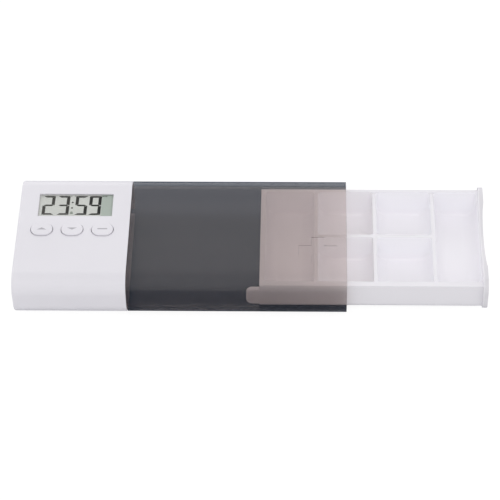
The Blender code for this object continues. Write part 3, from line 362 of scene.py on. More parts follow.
def make_clear(name, across, slant, dust, mirror, shade=None):
    """Clear plastic: each face tints what shows through it, more so at a slant, and shines.

    Across and slant are the light that a face lets through. Dust is a colour and its share of the
    face, and mirror a colour and a roughness. Shade may change the tint from place to place.
    """
    material, tree, haze = new_material(name)
    haze.inputs["Base Color"].default_value = linear(dust[0])
    facing = add_node(tree, "ShaderNodeLayerWeight", {"Blend": 0.5}).outputs["Facing"]
    colours = {FACTOR: facing, FIRST: linear(across), SECOND: linear(slant)}
    tint = add_node(tree, "ShaderNodeMix", colours, data_type="RGBA").outputs[MIXED]
    if shade:
        tint = shade(tree, tint)
    clear = add_node(tree, "ShaderNodeBsdfTransparent", (tint,))
    dusty = add_node(tree, "ShaderNodeMixShader", (dust[1], clear, haze))
    power = add_node(tree, "ShaderNodeMath", (facing, SHINE_POWER), operation="POWER")
    grown = (power, 1 - HEAD_ON_SHINE, HEAD_ON_SHINE)
    shine = add_node(tree, "ShaderNodeMath", grown, operation="MULTIPLY_ADD")
    gloss = add_node(tree, "ShaderNodeBsdfGlossy", {"Color": linear(mirror[0]), "Roughness": mirror[1]})
    mix = add_node(tree, "ShaderNodeMixShader", (shine, dusty, gloss))
    tree.links.new(mix.outputs[0], tree.nodes["Material Output"].inputs["Surface"])
    return material


def paint_smoke_shade_and_light(tree, tint):
    """The sleeve's tint, with painted shade that makes it a little deeper low down and painted light
    that makes it a little thinner near the mouth.
    """
    place = object_place(tree)
    low = add_node(tree, "ShaderNodeMapRange", (place["Z"], *SMOKE_LOW_BAND, SMOKE_LOW_PAINTED_SHADE, 1.0))
    painted_mouth_light = (place["X"], *SMOKE_MOUTH_BAND, 1.0, SMOKE_MOUTH_PAINTED_LIGHT)
    mouth = add_node(tree, "ShaderNodeMapRange", painted_mouth_light)
    depth = add_node(tree, "ShaderNodeMath", (low, mouth), operation="MULTIPLY")
    scaled = {0: tint, "Scale": depth}
    return add_node(tree, "ShaderNodeVectorMath", scaled, operation="SCALE").outputs["Vector"]


def make_painted_light_tray_plastic():
    """Milky moulded polypropylene, with light and shade painted into its colour.

    Painted light makes it palest on the compartments' floors and walls. It is a shade darker on the rim
    and, by painted shade, on the outer sides, and darkest, by painted shade, on the end plate.
    """
    material = make_material(
        "milky_polypropylene_painted_light", MILKY_GRAIN, MOULDED_DEPTH, (0.34, 0.46), TRAY_RIM_COLOURS
    )
    tree = material.node_tree
    base = tree.nodes["Principled BSDF"].inputs["Base Color"]
    rim = base.links[0].from_socket
    place = object_place(tree)
    turned = add_node(tree, "ShaderNodeTexCoord").outputs["Normal"]
    normal = add_node(tree, "ShaderNodeSeparateXYZ", (turned,)).outputs
    aside = add_node(tree, "ShaderNodeMath", (place["Y"],), operation="ABSOLUTE")
    behind = add_node(tree, "ShaderNodeMapRange", (place["Y"], *TRAY_FRONT_BAND, 0.0, 1.0))
    before = add_node(tree, "ShaderNodeMapRange", (place["Y"], *TRAY_REAR_BAND, 1.0, 0.0))
    within = add_node(tree, "ShaderNodeMath", (behind, before), operation="MINIMUM")
    deep = add_node(tree, "ShaderNodeMapRange", (place["Z"], *TRAY_RIM_BAND, 1.0, 0.0))
    upright = add_node(tree, "ShaderNodeMapRange", (normal["Z"], *TRAY_SLOPE_BAND, 1.0, 0.0))
    below = add_node(tree, "ShaderNodeMath", (deep, upright), operation="MAXIMUM")
    inside = add_node(tree, "ShaderNodeMath", (within, below), operation="MULTIPLY")
    high = add_node(tree, "ShaderNodeMapRange", (place["Z"], *TRAY_FLOOR_BAND, 0.0, 1.0))
    outer = add_node(tree, "ShaderNodeMapRange", (aside, *TRAY_SIDE_BAND, 0.0, 1.0))
    plate = add_node(tree, "ShaderNodeMapRange", (place["X"], *TRAY_PLATE_BAND, 0.0, 1.0))
    room = {FACTOR: high, FIRST: linear(TRAY_FLOOR_PAINTED_LIGHT), SECOND: linear(TRAY_WALL_PAINTED_LIGHT)}
    painted_room_light = add_node(tree, "ShaderNodeMix", room, data_type="RGBA").outputs[MIXED]
    colour = rim
    side, end = linear(TRAY_SIDE_PAINTED_SHADE), linear(TRAY_PLATE_PAINTED_SHADE)
    # Painted shade on the outer sides, painted light in the compartments, then painted shade on the end
    # plate
    for share, over in ((outer, side), (inside, painted_room_light), (plate, end)):
        layers = {FACTOR: share, FIRST: colour, SECOND: over}
        colour = add_node(tree, "ShaderNodeMix", layers, data_type="RGBA").outputs[MIXED]
    tree.links.new(colour, base)
    return material


def fade_along(material, axis, band, first, last):
    """Change a material's colour along an axis, from a first colour to a last one."""
    tree = material.node_tree
    share = add_node(tree, "ShaderNodeMapRange", (object_place(tree)[axis], *band, 0.0, 1.0))
    colours = {FACTOR: share, FIRST: linear(first), SECOND: linear(last)}
    colour = add_node(tree, "ShaderNodeMix", colours, data_type="RGBA").outputs[MIXED]
    tree.links.new(colour, tree.nodes["Principled BSDF"].inputs["Base Color"])
    return material


def make_battery_wrap():
    """Foil shrunk on a cell: bare metal ends and pale bands round a dark middle."""
    material = make_material(
        "battery_foil_wrap", RUBBER_GRAIN, SMOOTH_DEPTH, 0.3, BATTERY_BANDS[0][1], {"Metallic": 0.6}
    )
    tree = material.node_tree
    along = (object_place(tree)["Y"], -BATTERY_REACH, BATTERY_REACH, 0.0, 1.0)
    ramp = add_node(tree, "ShaderNodeValToRGB", (add_node(tree, "ShaderNodeMapRange", along),))
    ramp.color_ramp.interpolation = "CONSTANT"
    elements = ramp.color_ramp.elements
    for index, (position, colour) in enumerate(BATTERY_BANDS):
        element = elements[index] if index < len(elements) else elements.new(position)
        element.position = position
        element.color = linear(colour)
    tree.links.new(ramp.outputs["Color"], tree.nodes["Principled BSDF"].inputs["Base Color"])
    return material


# Moulded ABS, with the satin face of a blasted mould: broad, soft highlights
WHITE_ABS = make_material(
    "moulded_white_abs", ABS_GRAIN, MOULDED_DEPTH, (0.36, 0.46), ("DFDDE3", "E2E0E6")
)
# Polypropylene, softer and milkier than the ABS, with painted light in its compartments and painted
# shade on its outer sides and end plate
TRAY_PLASTIC = make_painted_light_tray_plastic()
# Moulded clear styrene with smoke dye: glossy, and dark where nothing pale lies behind it, with painted
# shade low down and painted light near the mouth
SMOKY_STYRENE = make_clear(
    "smoky_clear_styrene", "F0ECEA", "E5DEDB", ("8494B0", 0.035), ("F8FDFF", 0.14), paint_smoke_shade_and_light
)
# The same styrene at its mouth and on the far sides of its relief, with painted shade: a dark haze and
# a dim mirror draw dark lines there.
# It is less tinted, because what shows there has crossed more faces
STYRENE_PAINTED_EDGE_SHADE = make_clear("smoky_styrene_painted_edge_shade", "F1EFEF", "EDECEB", ("3A3638", 0.04), ("BCBCBC", 0.3))
# Polished acrylic window: nearly invisible, with a faint sheen
CLEAR_ACRYLIC = make_clear("polished_acrylic", "FDFEFD", "F9FAF9", ("F0F2F0", 0.004), ("A0A0A0", 0.05))
# Display glass under a polariser: grey-green, with a painted reflection that makes it paler to the left
# and a shade darker in the strip right of the digits
DISPLAY_GLASS = fade_along(
    make_material("polarised_display_glass", SMOOTH_GRAIN, SMOOTH_DEPTH, (0.24, 0.32), "C6CCC5"),
    "X", DISPLAY_PAINTED_REFLECTION_BAND, "E3E1E0", "BEC6C0",
)
# Liquid crystal that is on: flat black, with a painted reflection that makes it paler to the left
LIT_SEGMENT = fade_along(
    make_material(
        "dark_liquid_crystal", SMOOTH_GRAIN, FILM_DEPTH, (0.25, 0.35), "1A1A18",
        {"Specular IOR Level": 0.1},
    ),
    "X", SEGMENT_PAINTED_REFLECTION_BAND, "454240", "060606",
)
# Liquid crystal that is off: the alarm's small bell, which still shows faintly
FAINT_SEGMENT = make_material(
    "faint_liquid_crystal", SMOOTH_GRAIN, FILM_DEPTH, (0.25, 0.35), "9DA39B"
)
# Pad-printed ink: thin and dull
GREY_INK = make_material("pad_printed_ink", INK_GRAIN, SMOOTH_DEPTH, (0.45, 0.6), "B0AEB4")
# Plain moulded ABS of inner frames: grey, with no gloss to speak of
GREY_ABS = make_material(
    "moulded_grey_abs", INNER_GRAIN, MOULDED_DEPTH, (0.4, 0.52), ("8A8C90", "929498")
)
# Nylon of the switches' stems and the buzzer: black, with a soft shine
BLACK_NYLON = make_material(
    "moulded_black_nylon", INNER_GRAIN, MOULDED_DEPTH, (0.35, 0.48), ("19191B", "202022")
)
# Moulded epoxy of a chip: dull black with a sandy grain
BLACK_EPOXY = make_material(
    "moulded_black_epoxy", CHIP_GRAIN, MOULDED_DEPTH, (0.42, 0.58), ("111113", "19191B")
)
# Nickel-plated steel of screws, contacts and springs: bright, with uneven gloss
PLATED_STEEL = make_material(
    "nickel_plated_steel", PLATED_GRAIN, SMOOTH_DEPTH, (0.2, 0.36), ("BCBEC0", "CCCED0"),
    {"Metallic": 1.0},
)
# Laminate under a solder mask: wet-looking green lacquer
GREEN_LAMINATE = make_material(
    "lacquered_green_laminate", LACQUER_GRAIN, MOULDED_DEPTH, (0.28, 0.4), ("1A5236", "236644"),
    {"Coat Weight": 0.5},
)
# Extruded PVC of the leads: smooth and a little waxy
RED_SHEATH = make_material(
    "extruded_red_pvc", SMOOTH_GRAIN, SMOOTH_DEPTH, (0.34, 0.46), ("9E1A18", "B22421")
)
BLACK_SHEATH = make_material(
    "extruded_black_pvc", SMOOTH_GRAIN, SMOOTH_DEPTH, (0.34, 0.46), ("151517", "1D1D20")
)
# Silicone rubber of the display's connectors: matt pink
SILICONE = make_material(
    "pink_silicone_rubber", RUBBER_GRAIN, RUBBER_DEPTH, (0.5, 0.7), ("C98390", "D896A2")
)
# Foil shrunk on the cells: metallic bands with a soft shine
BATTERY_WRAP = make_battery_wrap()
# Finishes of the CAD nodes that have no finer piece
FINISHES = (
    (WHITE_ABS, ("head_bottom_cover", "battery_door", "tray_bulkhead")),
    (CLEAR_ACRYLIC, ("display_lens",)),
    (DISPLAY_GLASS, ("display_cell",)),
    (GREY_ABS, ("display_holder",)),
    (SILICONE, ("connector_strip_front", "connector_strip_rear")),
    (GREEN_LAMINATE, ("circuit_board",)),
    (BLACK_NYLON, ("buzzer", "switch_stem_left", "switch_stem_middle", "switch_stem_right")),
    (BLACK_EPOXY, ("timer_chip",)),
    (PLATED_STEEL, (
        "quartz_crystal", "switch_body_left", "switch_body_middle", "switch_body_right",
        "battery_bridge", "battery_contact_plus", "battery_contact_minus",
        "battery_spring_front", "battery_spring_rear",
    )),
    (BATTERY_WRAP, ("battery_left", "battery_right")),
    (RED_SHEATH, ("lead_red",)),
    (BLACK_SHEATH, ("lead_black",)),
)


def finish_nodes():
    """Give each CAD node that still shows its finished material."""
    for material, names in FINISHES:
        for name in names:
            data = NODES[name].data
            data.materials.clear()
            data.materials.append(material)


def to_mesh(shape, name):
    """Turn a bmesh into a mesh with faces out."""
    bmesh.ops.recalc_face_normals(shape, faces=shape.faces)
    mesh = bpy.data.meshes.new(name)
    shape.to_mesh(mesh)
    shape.free()
    return mesh


def box(low, high):
    """A box between two corners."""
    shape = bmesh.new()
    bmesh.ops.create_cube(shape, size=1.0)
    bmesh.ops.scale(shape, vec=[b - a for a, b in zip(low, high)], verts=shape.verts)
    bmesh.ops.translate(shape, vec=[(a + b) / 2 for a, b in zip(low, high)], verts=shape.verts)
    return to_mesh(shape, "box")


def prism(outline, low, high, axis="Z"):
    """An outline given thickness: its points are (x, y) along Z, (y, z) along X, (z, x) along Y."""
    place = {
        "X": lambda u, v, w: (w, u, v),
        "Y": lambda u, v, w: (v, w, u),
        "Z": lambda u, v, w: (u, v, w),
    }[axis]
    shape = bmesh.new()
    rings = [[shape.verts.new(place(u, v, w)) for u, v in outline] for w in (low, high)]
    shape.faces.new(rings[0])
    shape.faces.new(rings[1])
    count = len(outline)
    for i in range(count):
        j = (i + 1) % count
        shape.faces.new((rings[0][i], rings[0][j], rings[1][j], rings[1][i]))
    return to_mesh(shape, "prism")


def arc(centre_u, centre_v, radius, start, turn=90, steps=CORNER_STEPS):
    """Points along an arc, from a start angle in degrees."""
    angles = [math.radians(start + turn * i / steps) for i in range(steps + 1)]
    return [(centre_u + radius * math.cos(a), centre_v + radius * math.sin(a)) for a in angles]


def dot(u, v, radius, sides):
    """A round outline."""
    step = 360 / sides
    return arc(u, v, radius, 0, 360 - step, sides - 1)


def rounded(low, high, low_radius, high_radius=None, steps=CORNER_STEPS):
    """A rectangle with rounded corners: low_radius on the lower two, high_radius above."""
    if high_radius is None:
        high_radius = low_radius
    points = []
    corners = (
        (high[0], low[1], -1, 1, low_radius, -90),
        (high[0], high[1], -1, -1, high_radius, 0),
        (low[0], high[1], 1, -1, high_radius, 90),
        (low[0], low[1], 1, 1, low_radius, 180),
    )
    for u, v, side, up, radius, start in corners:
        if radius > 0:
            points += arc(u + side * radius, v + up * radius, radius, start, steps=steps)
        else:
            points.append((u, v))
    return points


def capsule(length, width, x=0.0, y=0.0, steps=2 * CORNER_STEPS):
    """A slot-shaped outline, long in X."""
    reach = (length - width) / 2
    radius = width / 2
    return arc(x + reach, y, radius, -90, 180, steps) + arc(x - reach, y, radius, 90, 180, steps)


def head_outline(inset):
    """The head's outline across X, drawn in by a wall's thickness."""
    edge = HEAD_HALF_DEPTH - inset
    return rounded((-edge, inset), (edge, HEAD_HEIGHT - inset), HEAD_CORNER - inset)


def sleeve_outline(inset):
    """The sleeve's outline across X, drawn in by a wall's thickness."""
    edge = SLEEVE_HALF_DEPTH - inset
    return rounded((-edge, inset), (edge, SLEEVE_TOP - inset), SLEEVE_CORNER - inset)


def soften(mesh, radius, segments, chosen):
    """Bevel the edges of a mesh whose two ends a function accepts."""
    shape = bmesh.new()
    shape.from_mesh(mesh)
    edges = [edge for edge in shape.edges if chosen(edge.verts[0].co, edge.verts[1].co)]
    bmesh.ops.bevel(
        shape, geom=edges, offset=radius, offset_type="OFFSET", segments=segments, profile=0.5,
        affect="EDGES", clamp_overlap=True,
    )
    shape.to_mesh(mesh)
    shape.free()
    return mesh


def shown(name, mesh):
    """A scene object for a mesh."""
    piece = bpy.data.objects.new(name, mesh)
    bpy.context.scene.collection.objects.link(piece)
    return piece


def keep_result(piece):
    """Replace a piece's mesh with what its modifiers make of it."""
    evaluated = piece.evaluated_get(bpy.context.evaluated_depsgraph_get())
    result = bpy.data.meshes.new_from_object(evaluated)
    piece.modifiers.clear()
    piece.data = result
    result.name = piece.name


def round_edges(piece, width, segments):
    """Soften a piece's sharp edges with a live bevel."""
    bevel = piece.modifiers.new("edges", "BEVEL")
    bevel.width = width
    bevel.segments = segments
    bevel.limit_method = "ANGLE"
    bevel.angle_limit = math.radians(SOFTENED_ANGLE)


def solid(name, mesh, steps, edge=0.0, edge_segments=2):
    """Join and cut a mesh with others in order, soften its sharp edges and keep the result."""
    piece = shown(name, mesh)
    tools = []
    for operation, other in steps:
        tool = shown("tool", other)
        tools.append(tool)
        modifier = piece.modifiers.new("combine", "BOOLEAN")
        modifier.operation = operation
        modifier.solver = "EXACT"
        modifier.object = tool
    if edge:
        round_edges(piece, edge, edge_segments)
    keep_result(piece)
    for tool in tools:
        bpy.data.objects.remove(tool, do_unlink=True)
    return piece


def settle(piece, material, body, node=None):
    """Shift a finished piece to the frame's origin, then give it its material and body, and hide the
    CAD node it replaces.
    """
    piece.data.transform(Matrix.Translation((-MIDDLE_X, 0.0, 0.0)))
    piece.data.shade_smooth()
    piece.data.set_sharp_from_angle(angle=math.radians(SHARP_ANGLE))
    flatter = piece.modifiers.new("normals", "WEIGHTED_NORMAL")
    flatter.weight = LARGE_FACE_WEIGHT
    flatter.keep_sharp = True
    keep_result(piece)
    piece.data.materials.clear()
    piece.data.materials.append(material)
    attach(piece, body)
    if node:
        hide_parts(node)
    return piece


def build_head_shell():
    """Top shell of the head, with a rounded left end, window, button holes and seam."""
    outer = prism(head_outline(0.0), HEAD_LEFT, -SEAT_GAP / 2, "X")
    left = HEAD_LEFT + SAME_PLACE
    soften(outer, HEAD_END_EDGE, SMALL_STEPS, lambda a, b: max(a.x, b.x) < left)
    steps = [("DIFFERENCE", prism(head_outline(HEAD_WALL), HEAD_LEFT + HEAD_WALL, OVERRUN, "X"))]
    lap = head_outline(SPIGOT_INSET - SEAT_GAP + HEAD_STEP)
    steps.append(("DIFFERENCE", prism(lap, -SPIGOT_LENGTH - SEAT_GAP, 2 * OVERRUN, "X")))
    steps.append(("DIFFERENCE", box(
        (*WINDOW_LOW, HEAD_CEILING - OVERRUN), (*WINDOW_HIGH, HEAD_HEIGHT + OVERRUN)
    )))
    side = CELL_SIDE_MARGIN + SEAT_GAP
    rim = CELL_EDGE_MARGIN + SEAT_GAP
    steps.append(("DIFFERENCE", box(
        (WINDOW_LOW[0] - side, WINDOW_LOW[1] - rim, HEAD_CEILING - 2 * OVERRUN),
        (WINDOW_HIGH[0] + side, WINDOW_HIGH[1] + rim, HEAD_HEIGHT - WINDOW_LIP),
    )))
    for x in BUTTON_XS:
        gaps = 2 * BUTTON_SIDE_GAP
        hole = capsule(BUTTON_LENGTH + gaps, BUTTON_WIDTH + gaps, x, BUTTON_Y)
        steps.append(("DIFFERENCE", prism(hole, HEAD_CEILING - OVERRUN, HEAD_HEIGHT + OVERRUN)))
    low = (HEAD_LEFT - OVERRUN, -2 * HEAD_HALF_DEPTH, -OVERRUN)
    steps.append(("DIFFERENCE", box(low, (3 * OVERRUN, 2 * HEAD_HALF_DEPTH, SEAM_TOP))))
    shell = solid("clock_head", outer, steps, MOULDED_EDGE)
    settle(shell, WHITE_ABS, "housing", "head_top_shell")


def build_buttons():
    """Button caps with soft edges and a flange that keeps them in."""
    top = HEAD_HEIGHT + BUTTON_PROUD
    edge = top - SAME_PLACE
    middle = FLANGE_TOP - FLANGE_THICKNESS / 2
    past = 2 * BUTTON_FLANGE
    for side, x in zip(("left", "middle", "right"), BUTTON_XS):
        cap = prism(capsule(BUTTON_LENGTH, BUTTON_WIDTH, x, BUTTON_Y), middle, top)
        soften(cap, BUTTON_EDGE, SMALL_STEPS, lambda a, b: min(a.z, b.z) > edge)
        outline = capsule(BUTTON_LENGTH + past, BUTTON_WIDTH + past, x, BUTTON_Y)
        flange = prism(outline, FLANGE_TOP - FLANGE_THICKNESS, FLANGE_TOP)
        joined = solid(f"button_{side}_fine", cap, [("UNION", flange)])
        settle(joined, WHITE_ABS, f"button_{side}", f"button_cap_{side}")


def segment_shapes():
    """The seven bars of a digit, in its own corner's coordinates, by the usual letters."""
    width, height, gap = DIGIT_WIDTH, DIGIT_HEIGHT, SEGMENT_GAP
    bar, flat = SEGMENT_UPRIGHT, SEGMENT_FLAT
    middle = height / 2
    tip = bar / 3
    inner = width - bar
    low, high = middle - flat / 2, middle + flat / 2
    top = [(gap, height), (width - gap, height), (inner, height - flat), (bar, height - flat)]
    upper = [
        (width, height - gap), (inner, height - flat - gap), (inner, high + gap),
        (width, middle + 2 * gap),
    ]
    centre = [
        (tip, middle), (bar, high), (inner, high), (width - tip, middle), (inner, low), (bar, low),
    ]

    def across(shape):
        """The same bar on the left."""
        return [(width - u, v) for u, v in shape]

    def below(shape):
        """The same bar in the lower half."""
        return [(u, height - v) for u, v in shape]

    return {
        "a": top, "b": upper, "c": below(upper), "d": below(top), "e": below(across(upper)),
        "f": across(upper), "g": centre,
    }


def on_display(name, outline, material):
    """A thin flat shape on the display's face."""
    piece = shown(name, prism(outline, DISPLAY_TOP, DISPLAY_TOP + SEGMENT_THICKNESS))
    settle(piece, material, "housing", None)


def build_display():
    """The time in slanted seven-bar digits, with a colon and small marks."""
    shapes = segment_shapes()
    lit = [(left, bar) for left, bars in zip(DIGIT_XS, DIGIT_BARS) for bar in bars]
    for index, (left, bar) in enumerate(lit):
        outline = [(left + u + DIGIT_LEAN * v, DIGIT_LOW + v) for u, v in shapes[bar]]
        on_display(f"segment_{index:02d}", outline, LIT_SEGMENT)
    marks = [dot(COLON_X + DIGIT_LEAN * (y - DIGIT_LOW), y, COLON_RADIUS, DOT_SIDES) for y in COLON_YS]
    marks += [dot(x, SMALL_MARK_Y, SMALL_DOT, DOT_SIDES // 2) for x in SMALL_DOT_XS]
    low, high = SMALL_MARK_Y - SMALL_DOT, SMALL_MARK_Y + SMALL_DOT / 2
    marks += [rounded((left, low), (right, high), 0.0) for left, right in SMALL_BARS]
    for index, outline in enumerate(marks):
        on_display(f"display_mark_{index}", outline, LIT_SEGMENT)
    bell = [(BELL_X + u, BELL_Y + v) for u, v in BELL]
    on_display(f"display_mark_{len(marks)}", bell, FAINT_SEGMENT)


def build_marks():
    """Plain printed marks on the buttons: up, down and a bar."""
    half, depth = MARK_HALF, MARK_DEPTH
    triangle = [(-half, -depth / 2), (half, -depth / 2), (0.0, depth / 2)]
    bar = [(-half, -depth / 4), (half, -depth / 4), (half, depth / 4), (-half, depth / 4)]
    turned = [(-u, -v) for u, v in triangle]
    top = HEAD_HEIGHT + BUTTON_PROUD
    for side, x, mark in zip(("left", "middle", "right"), BUTTON_XS, (triangle, turned, bar)):
        outline = [(x + u, BUTTON_Y + v) for u, v in mark]
        piece = shown(f"mark_{side}", prism(outline, top, top + INK_THICKNESS))
        settle(piece, GREY_INK, f"button_{side}", None)


def build_sleeve():
    """Smoky tube with its spigot, the raised plus and the tray's stop."""
    outer = prism(sleeve_outline(0.0), SEAT_GAP / 2, SLEEVE_LENGTH, "X")
    steps = [("UNION", prism(sleeve_outline(SPIGOT_INSET), -SPIGOT_LENGTH, SLEEVE_LENGTH / 2, "X"))]
    x, y = PLUS_MIDDLE
    root = SLEEVE_TOP - SLEEVE_WALL / 2
    for length, width in ((PLUS_LENGTH, PLUS_ARM), (PLUS_ARM, PLUS_WIDTH)):
        low = (x - length / 2, y - width / 2, root)
        steps.append(("UNION", box(low, (x + length / 2, y + width / 2, SLEEVE_TOP + PLUS_RELIEF))))
    bore = prism(sleeve_outline(SLEEVE_WALL), -SPIGOT_LENGTH - OVERRUN, SLEEVE_LENGTH + OVERRUN, "X")
    steps.append(("DIFFERENCE", bore))
    low = (STOP_RIGHT - STOP_LENGTH, -STOP_WIDTH / 2, SLEEVE_WALL / 2)
    steps.append(("UNION", box(low, (STOP_RIGHT, STOP_WIDTH / 2, SLEEVE_WALL + STOP_HEIGHT))))
    sleeve = solid("smoky_sleeve", outer, steps, MOULDED_EDGE)
    settle(sleeve, SMOKY_STYRENE, "housing", "sleeve")
    sleeve.data.materials.append(STYRENE_PAINTED_EDGE_SHADE)
    relief = SLEEVE_TOP + SAME_PLACE
    mouth = SLEEVE_LENGTH - MIDDLE_X - MOUTH_BAND
    # The relief's far sides and the sleeve's end take the styrene with painted shade, a dark line
    for face in sleeve.data.polygons:
        far = face.normal.y > FAR_SLOPE or face.normal.x < -FAR_SLOPE
        at_relief = far and max(sleeve.data.vertices[i].co.z for i in face.vertices) > relief
        if at_relief or (face.normal.x > END_SLOPE and face.center.x > mouth):
            face.material_index = 1


def rooms():
    """Low and high X and Y of the six compartments."""
    front = TRAY_WALL - TRAY_HALF_DEPTH
    rear = TRAY_HALF_DEPTH - TRAY_REAR_WALL
    first, second, third, fourth = ROOM_ROWS
    sides = ((front, DIVIDER_SHIFT - DIVIDER / 2), (DIVIDER_SHIFT + DIVIDER / 2, rear))
    halves = [((row[0], low), (row[1], high)) for row in (second, third) for low, high in sides]
    return [((first[0], front), (first[1], rear)), *halves, ((fourth[0], front), (fourth[1], rear))]


def scoop(low, high):
    """A compartment's hollow: its floor curves up to its sides, and its rear wall leans back."""
    top = HEAD_HEIGHT + OVERRUN
    floor = TRAY_BOTTOM + TRAY_FLOOR
    centre = floor + ROOM_SCOOP
    right = arc(centre, high[0] - ROOM_SCOOP, ROOM_SCOOP, 90)
    left = arc(centre, low[0] + ROOM_SCOOP, ROOM_SCOOP, 180)
    hollow = prism([(top, high[0])] + right + left + [(top, low[0])], low[1], high[1], "Y")
    for vertex in hollow.vertices:
        if vertex.co.y > high[1] - SAME_PLACE:
            vertex.co.y += ROOM_LEAN * (vertex.co.z - TRAY_RIM) / (TRAY_RIM - floor)
    middle = (low[1] + high[1]) / 2
    return soften(hollow, ROOM_FILLET, SMALL_STEPS, lambda a, b: (a.y - middle) * (b.y - middle) > 0)


def plate_outline():
    """The end plate's outline, with a finger dip in its top edge."""
    points = sleeve_outline(SLEEVE_WALL + SEAT_GAP)
    top = max(z for y, z in points)
    count = 4 * CORNER_STEPS
    dip = []
    for i in range(count + 1):
        share = 1 - 2 * i / count
        dip.append((PLATE_DIP_HALF * share, top - PLATE_DIP * (1 + math.cos(math.pi * share)) / 2))
    upper_right_end = 2 * (CORNER_STEPS + 1)
    return points[:upper_right_end] + dip + points[upper_right_end:]


def build_tray():
    """Tray with scooped compartments, end plate, tongue and the slot that meets the stop."""
    half = TRAY_HALF_DEPTH
    outline = rounded((-half, TRAY_BOTTOM), (half, TRAY_RIM), TRAY_BOTTOM_CORNER, 0.0)
    trough = prism(outline, TRAY_LEFT, (PLATE_LEFT + PLATE_RIGHT) / 2, "X")
    steps = [("UNION", prism(plate_outline(), PLATE_LEFT, PLATE_RIGHT, "X"))]
    tab = rounded((TONGUE_LOW, TONGUE_TIP), (TONGUE_HIGH, TRAY_LEFT + OVERRUN), TONGUE_CORNER, 0.0)
    outer = -half + TONGUE_INSET
    steps.append(("UNION", prism(tab, outer, outer + TONGUE_THICKNESS, "Y")))
    slot_high = (SLOT_RIGHT, SLOT_HALF, TRAY_BOTTOM + SLOT_DEPTH)
    steps.append(("DIFFERENCE", box((SLOT_LEFT, -SLOT_HALF, -OVERRUN), slot_high)))
    dish = bmesh.new()
    bmesh.ops.create_uvsphere(dish, u_segments=ROUND_SIDES, v_segments=ROUND_SIDES // 2, radius=1.0)
    bmesh.ops.scale(dish, vec=(DISH_DEPTH, DISH_HALF, DISH_HEIGHT), verts=dish.verts)
    bmesh.ops.translate(dish, vec=(PLATE_RIGHT, 0.0, TRAY_RIM), verts=dish.verts)
    steps.append(("DIFFERENCE", to_mesh(dish, "dish")))
    for low, high in rooms():
        steps.append(("DIFFERENCE", scoop(low, high)))
    start = (ROOM_ROWS[0][1] - OVERRUN, TRAY_WALL - half, TRAY_RIM - DIVIDER_DROP)
    end = (ROOM_ROWS[-1][0] + OVERRUN, half - TRAY_REAR_WALL, HEAD_HEIGHT)
    steps.append(("DIFFERENCE", box(start, end)))
    tray = solid("drawn_tray", trough, steps, TRAY_EDGE, 3)
    settle(tray, TRAY_PLASTIC, "tray", "pill_tray")


def screw_tree():
    """Geometry nodes: a cross-recessed screw, head down, on every point of a mesh."""
    tree = bpy.data.node_groups.new("case_screws", "GeometryNodeTree")
    tree.interface.new_socket("Places", in_out="INPUT", socket_type="NodeSocketGeometry")
    for name in SCREW_SIZES:
        tree.interface.new_socket(name, in_out="INPUT", socket_type="NodeSocketFloat")
    tree.interface.new_socket("Screws", in_out="OUTPUT", socket_type="NodeSocketGeometry")
    given = add_node(tree, "NodeGroupInput").outputs

    def pin(sides, radius, length, low):
        """An upright cylinder that stands at a height."""
        sizes = {"Vertices": sides, "Radius": given[radius], "Depth": given[length]}
        body = add_node(tree, "GeometryNodeMeshCylinder", sizes)
        middle = add_node(tree, "ShaderNodeMath", (given[length], 0.5, low), operation="MULTIPLY_ADD")
        lift = add_node(tree, "ShaderNodeCombineXYZ", {"Z": middle})
        return add_node(tree, "GeometryNodeTransform", {"Geometry": body, "Translation": lift})

    head = pin(SCREW_HEAD_SIDES, "Head Radius", "Head Height", 0.0)
    shank = pin(SCREW_SHANK_SIDES, "Shank Radius", "Shank Length", given["Head Height"])
    recessed = add_node(tree, "GeometryNodeMeshBoolean", {"Mesh 1": head}, operation="DIFFERENCE")
    for x, y in (("Recess Length", "Recess Width"), ("Recess Width", "Recess Length")):
        reach = add_node(tree, "ShaderNodeCombineXYZ", (given[x], given[y], given["Recess Depth"]))
        bar = add_node(tree, "GeometryNodeMeshCube", {"Size": reach})
        tree.links.new(bar.outputs["Mesh"], recessed.inputs["Mesh 2"])
    whole = add_node(tree, "GeometryNodeJoinGeometry", (recessed,))
    tree.links.new(shank.outputs[0], whole.inputs[0])
    placed = {"Points": given["Places"], "Instance": whole}
    copies = add_node(tree, "GeometryNodeInstanceOnPoints", placed)
    real = add_node(tree, "GeometryNodeRealizeInstances", (copies,))
    finish = add_node(tree, "GeometryNodeSetMaterial", {"Geometry": real, "Material": PLATED_STEEL})
    add_node(tree, "NodeGroupOutput", (finish,))
    return tree


def build_screws():
    """The four case screws, head down in their recesses, where the plain ones stand."""
    nodes = [f"case_screw_{i + 1}" for i in range(SCREW_COUNT)]
    places = []
    for low, high in (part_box(node) for node in nodes):
        places.append(((low[0] + high[0]) / 2 + MIDDLE_X, (low[1] + high[1]) / 2, low[2]))
    mesh = bpy.data.meshes.new("screw_places")
    mesh.from_pydata(places, [], [])
    piece = shown("case_screws_fine", mesh)
    tree = screw_tree()
    grown = piece.modifiers.new("screws", "NODES")
    grown.node_group = tree
    for item in tree.interface.items_tree:
        if item.name in SCREW_SIZES:
            grown[item.identifier] = SCREW_SIZES[item.name]
    keep_result(piece)
    round_edges(piece, SCREW_EDGE, 3)
    keep_result(piece)
    settle(piece, PLATED_STEEL, "housing", None)
    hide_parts(*nodes)


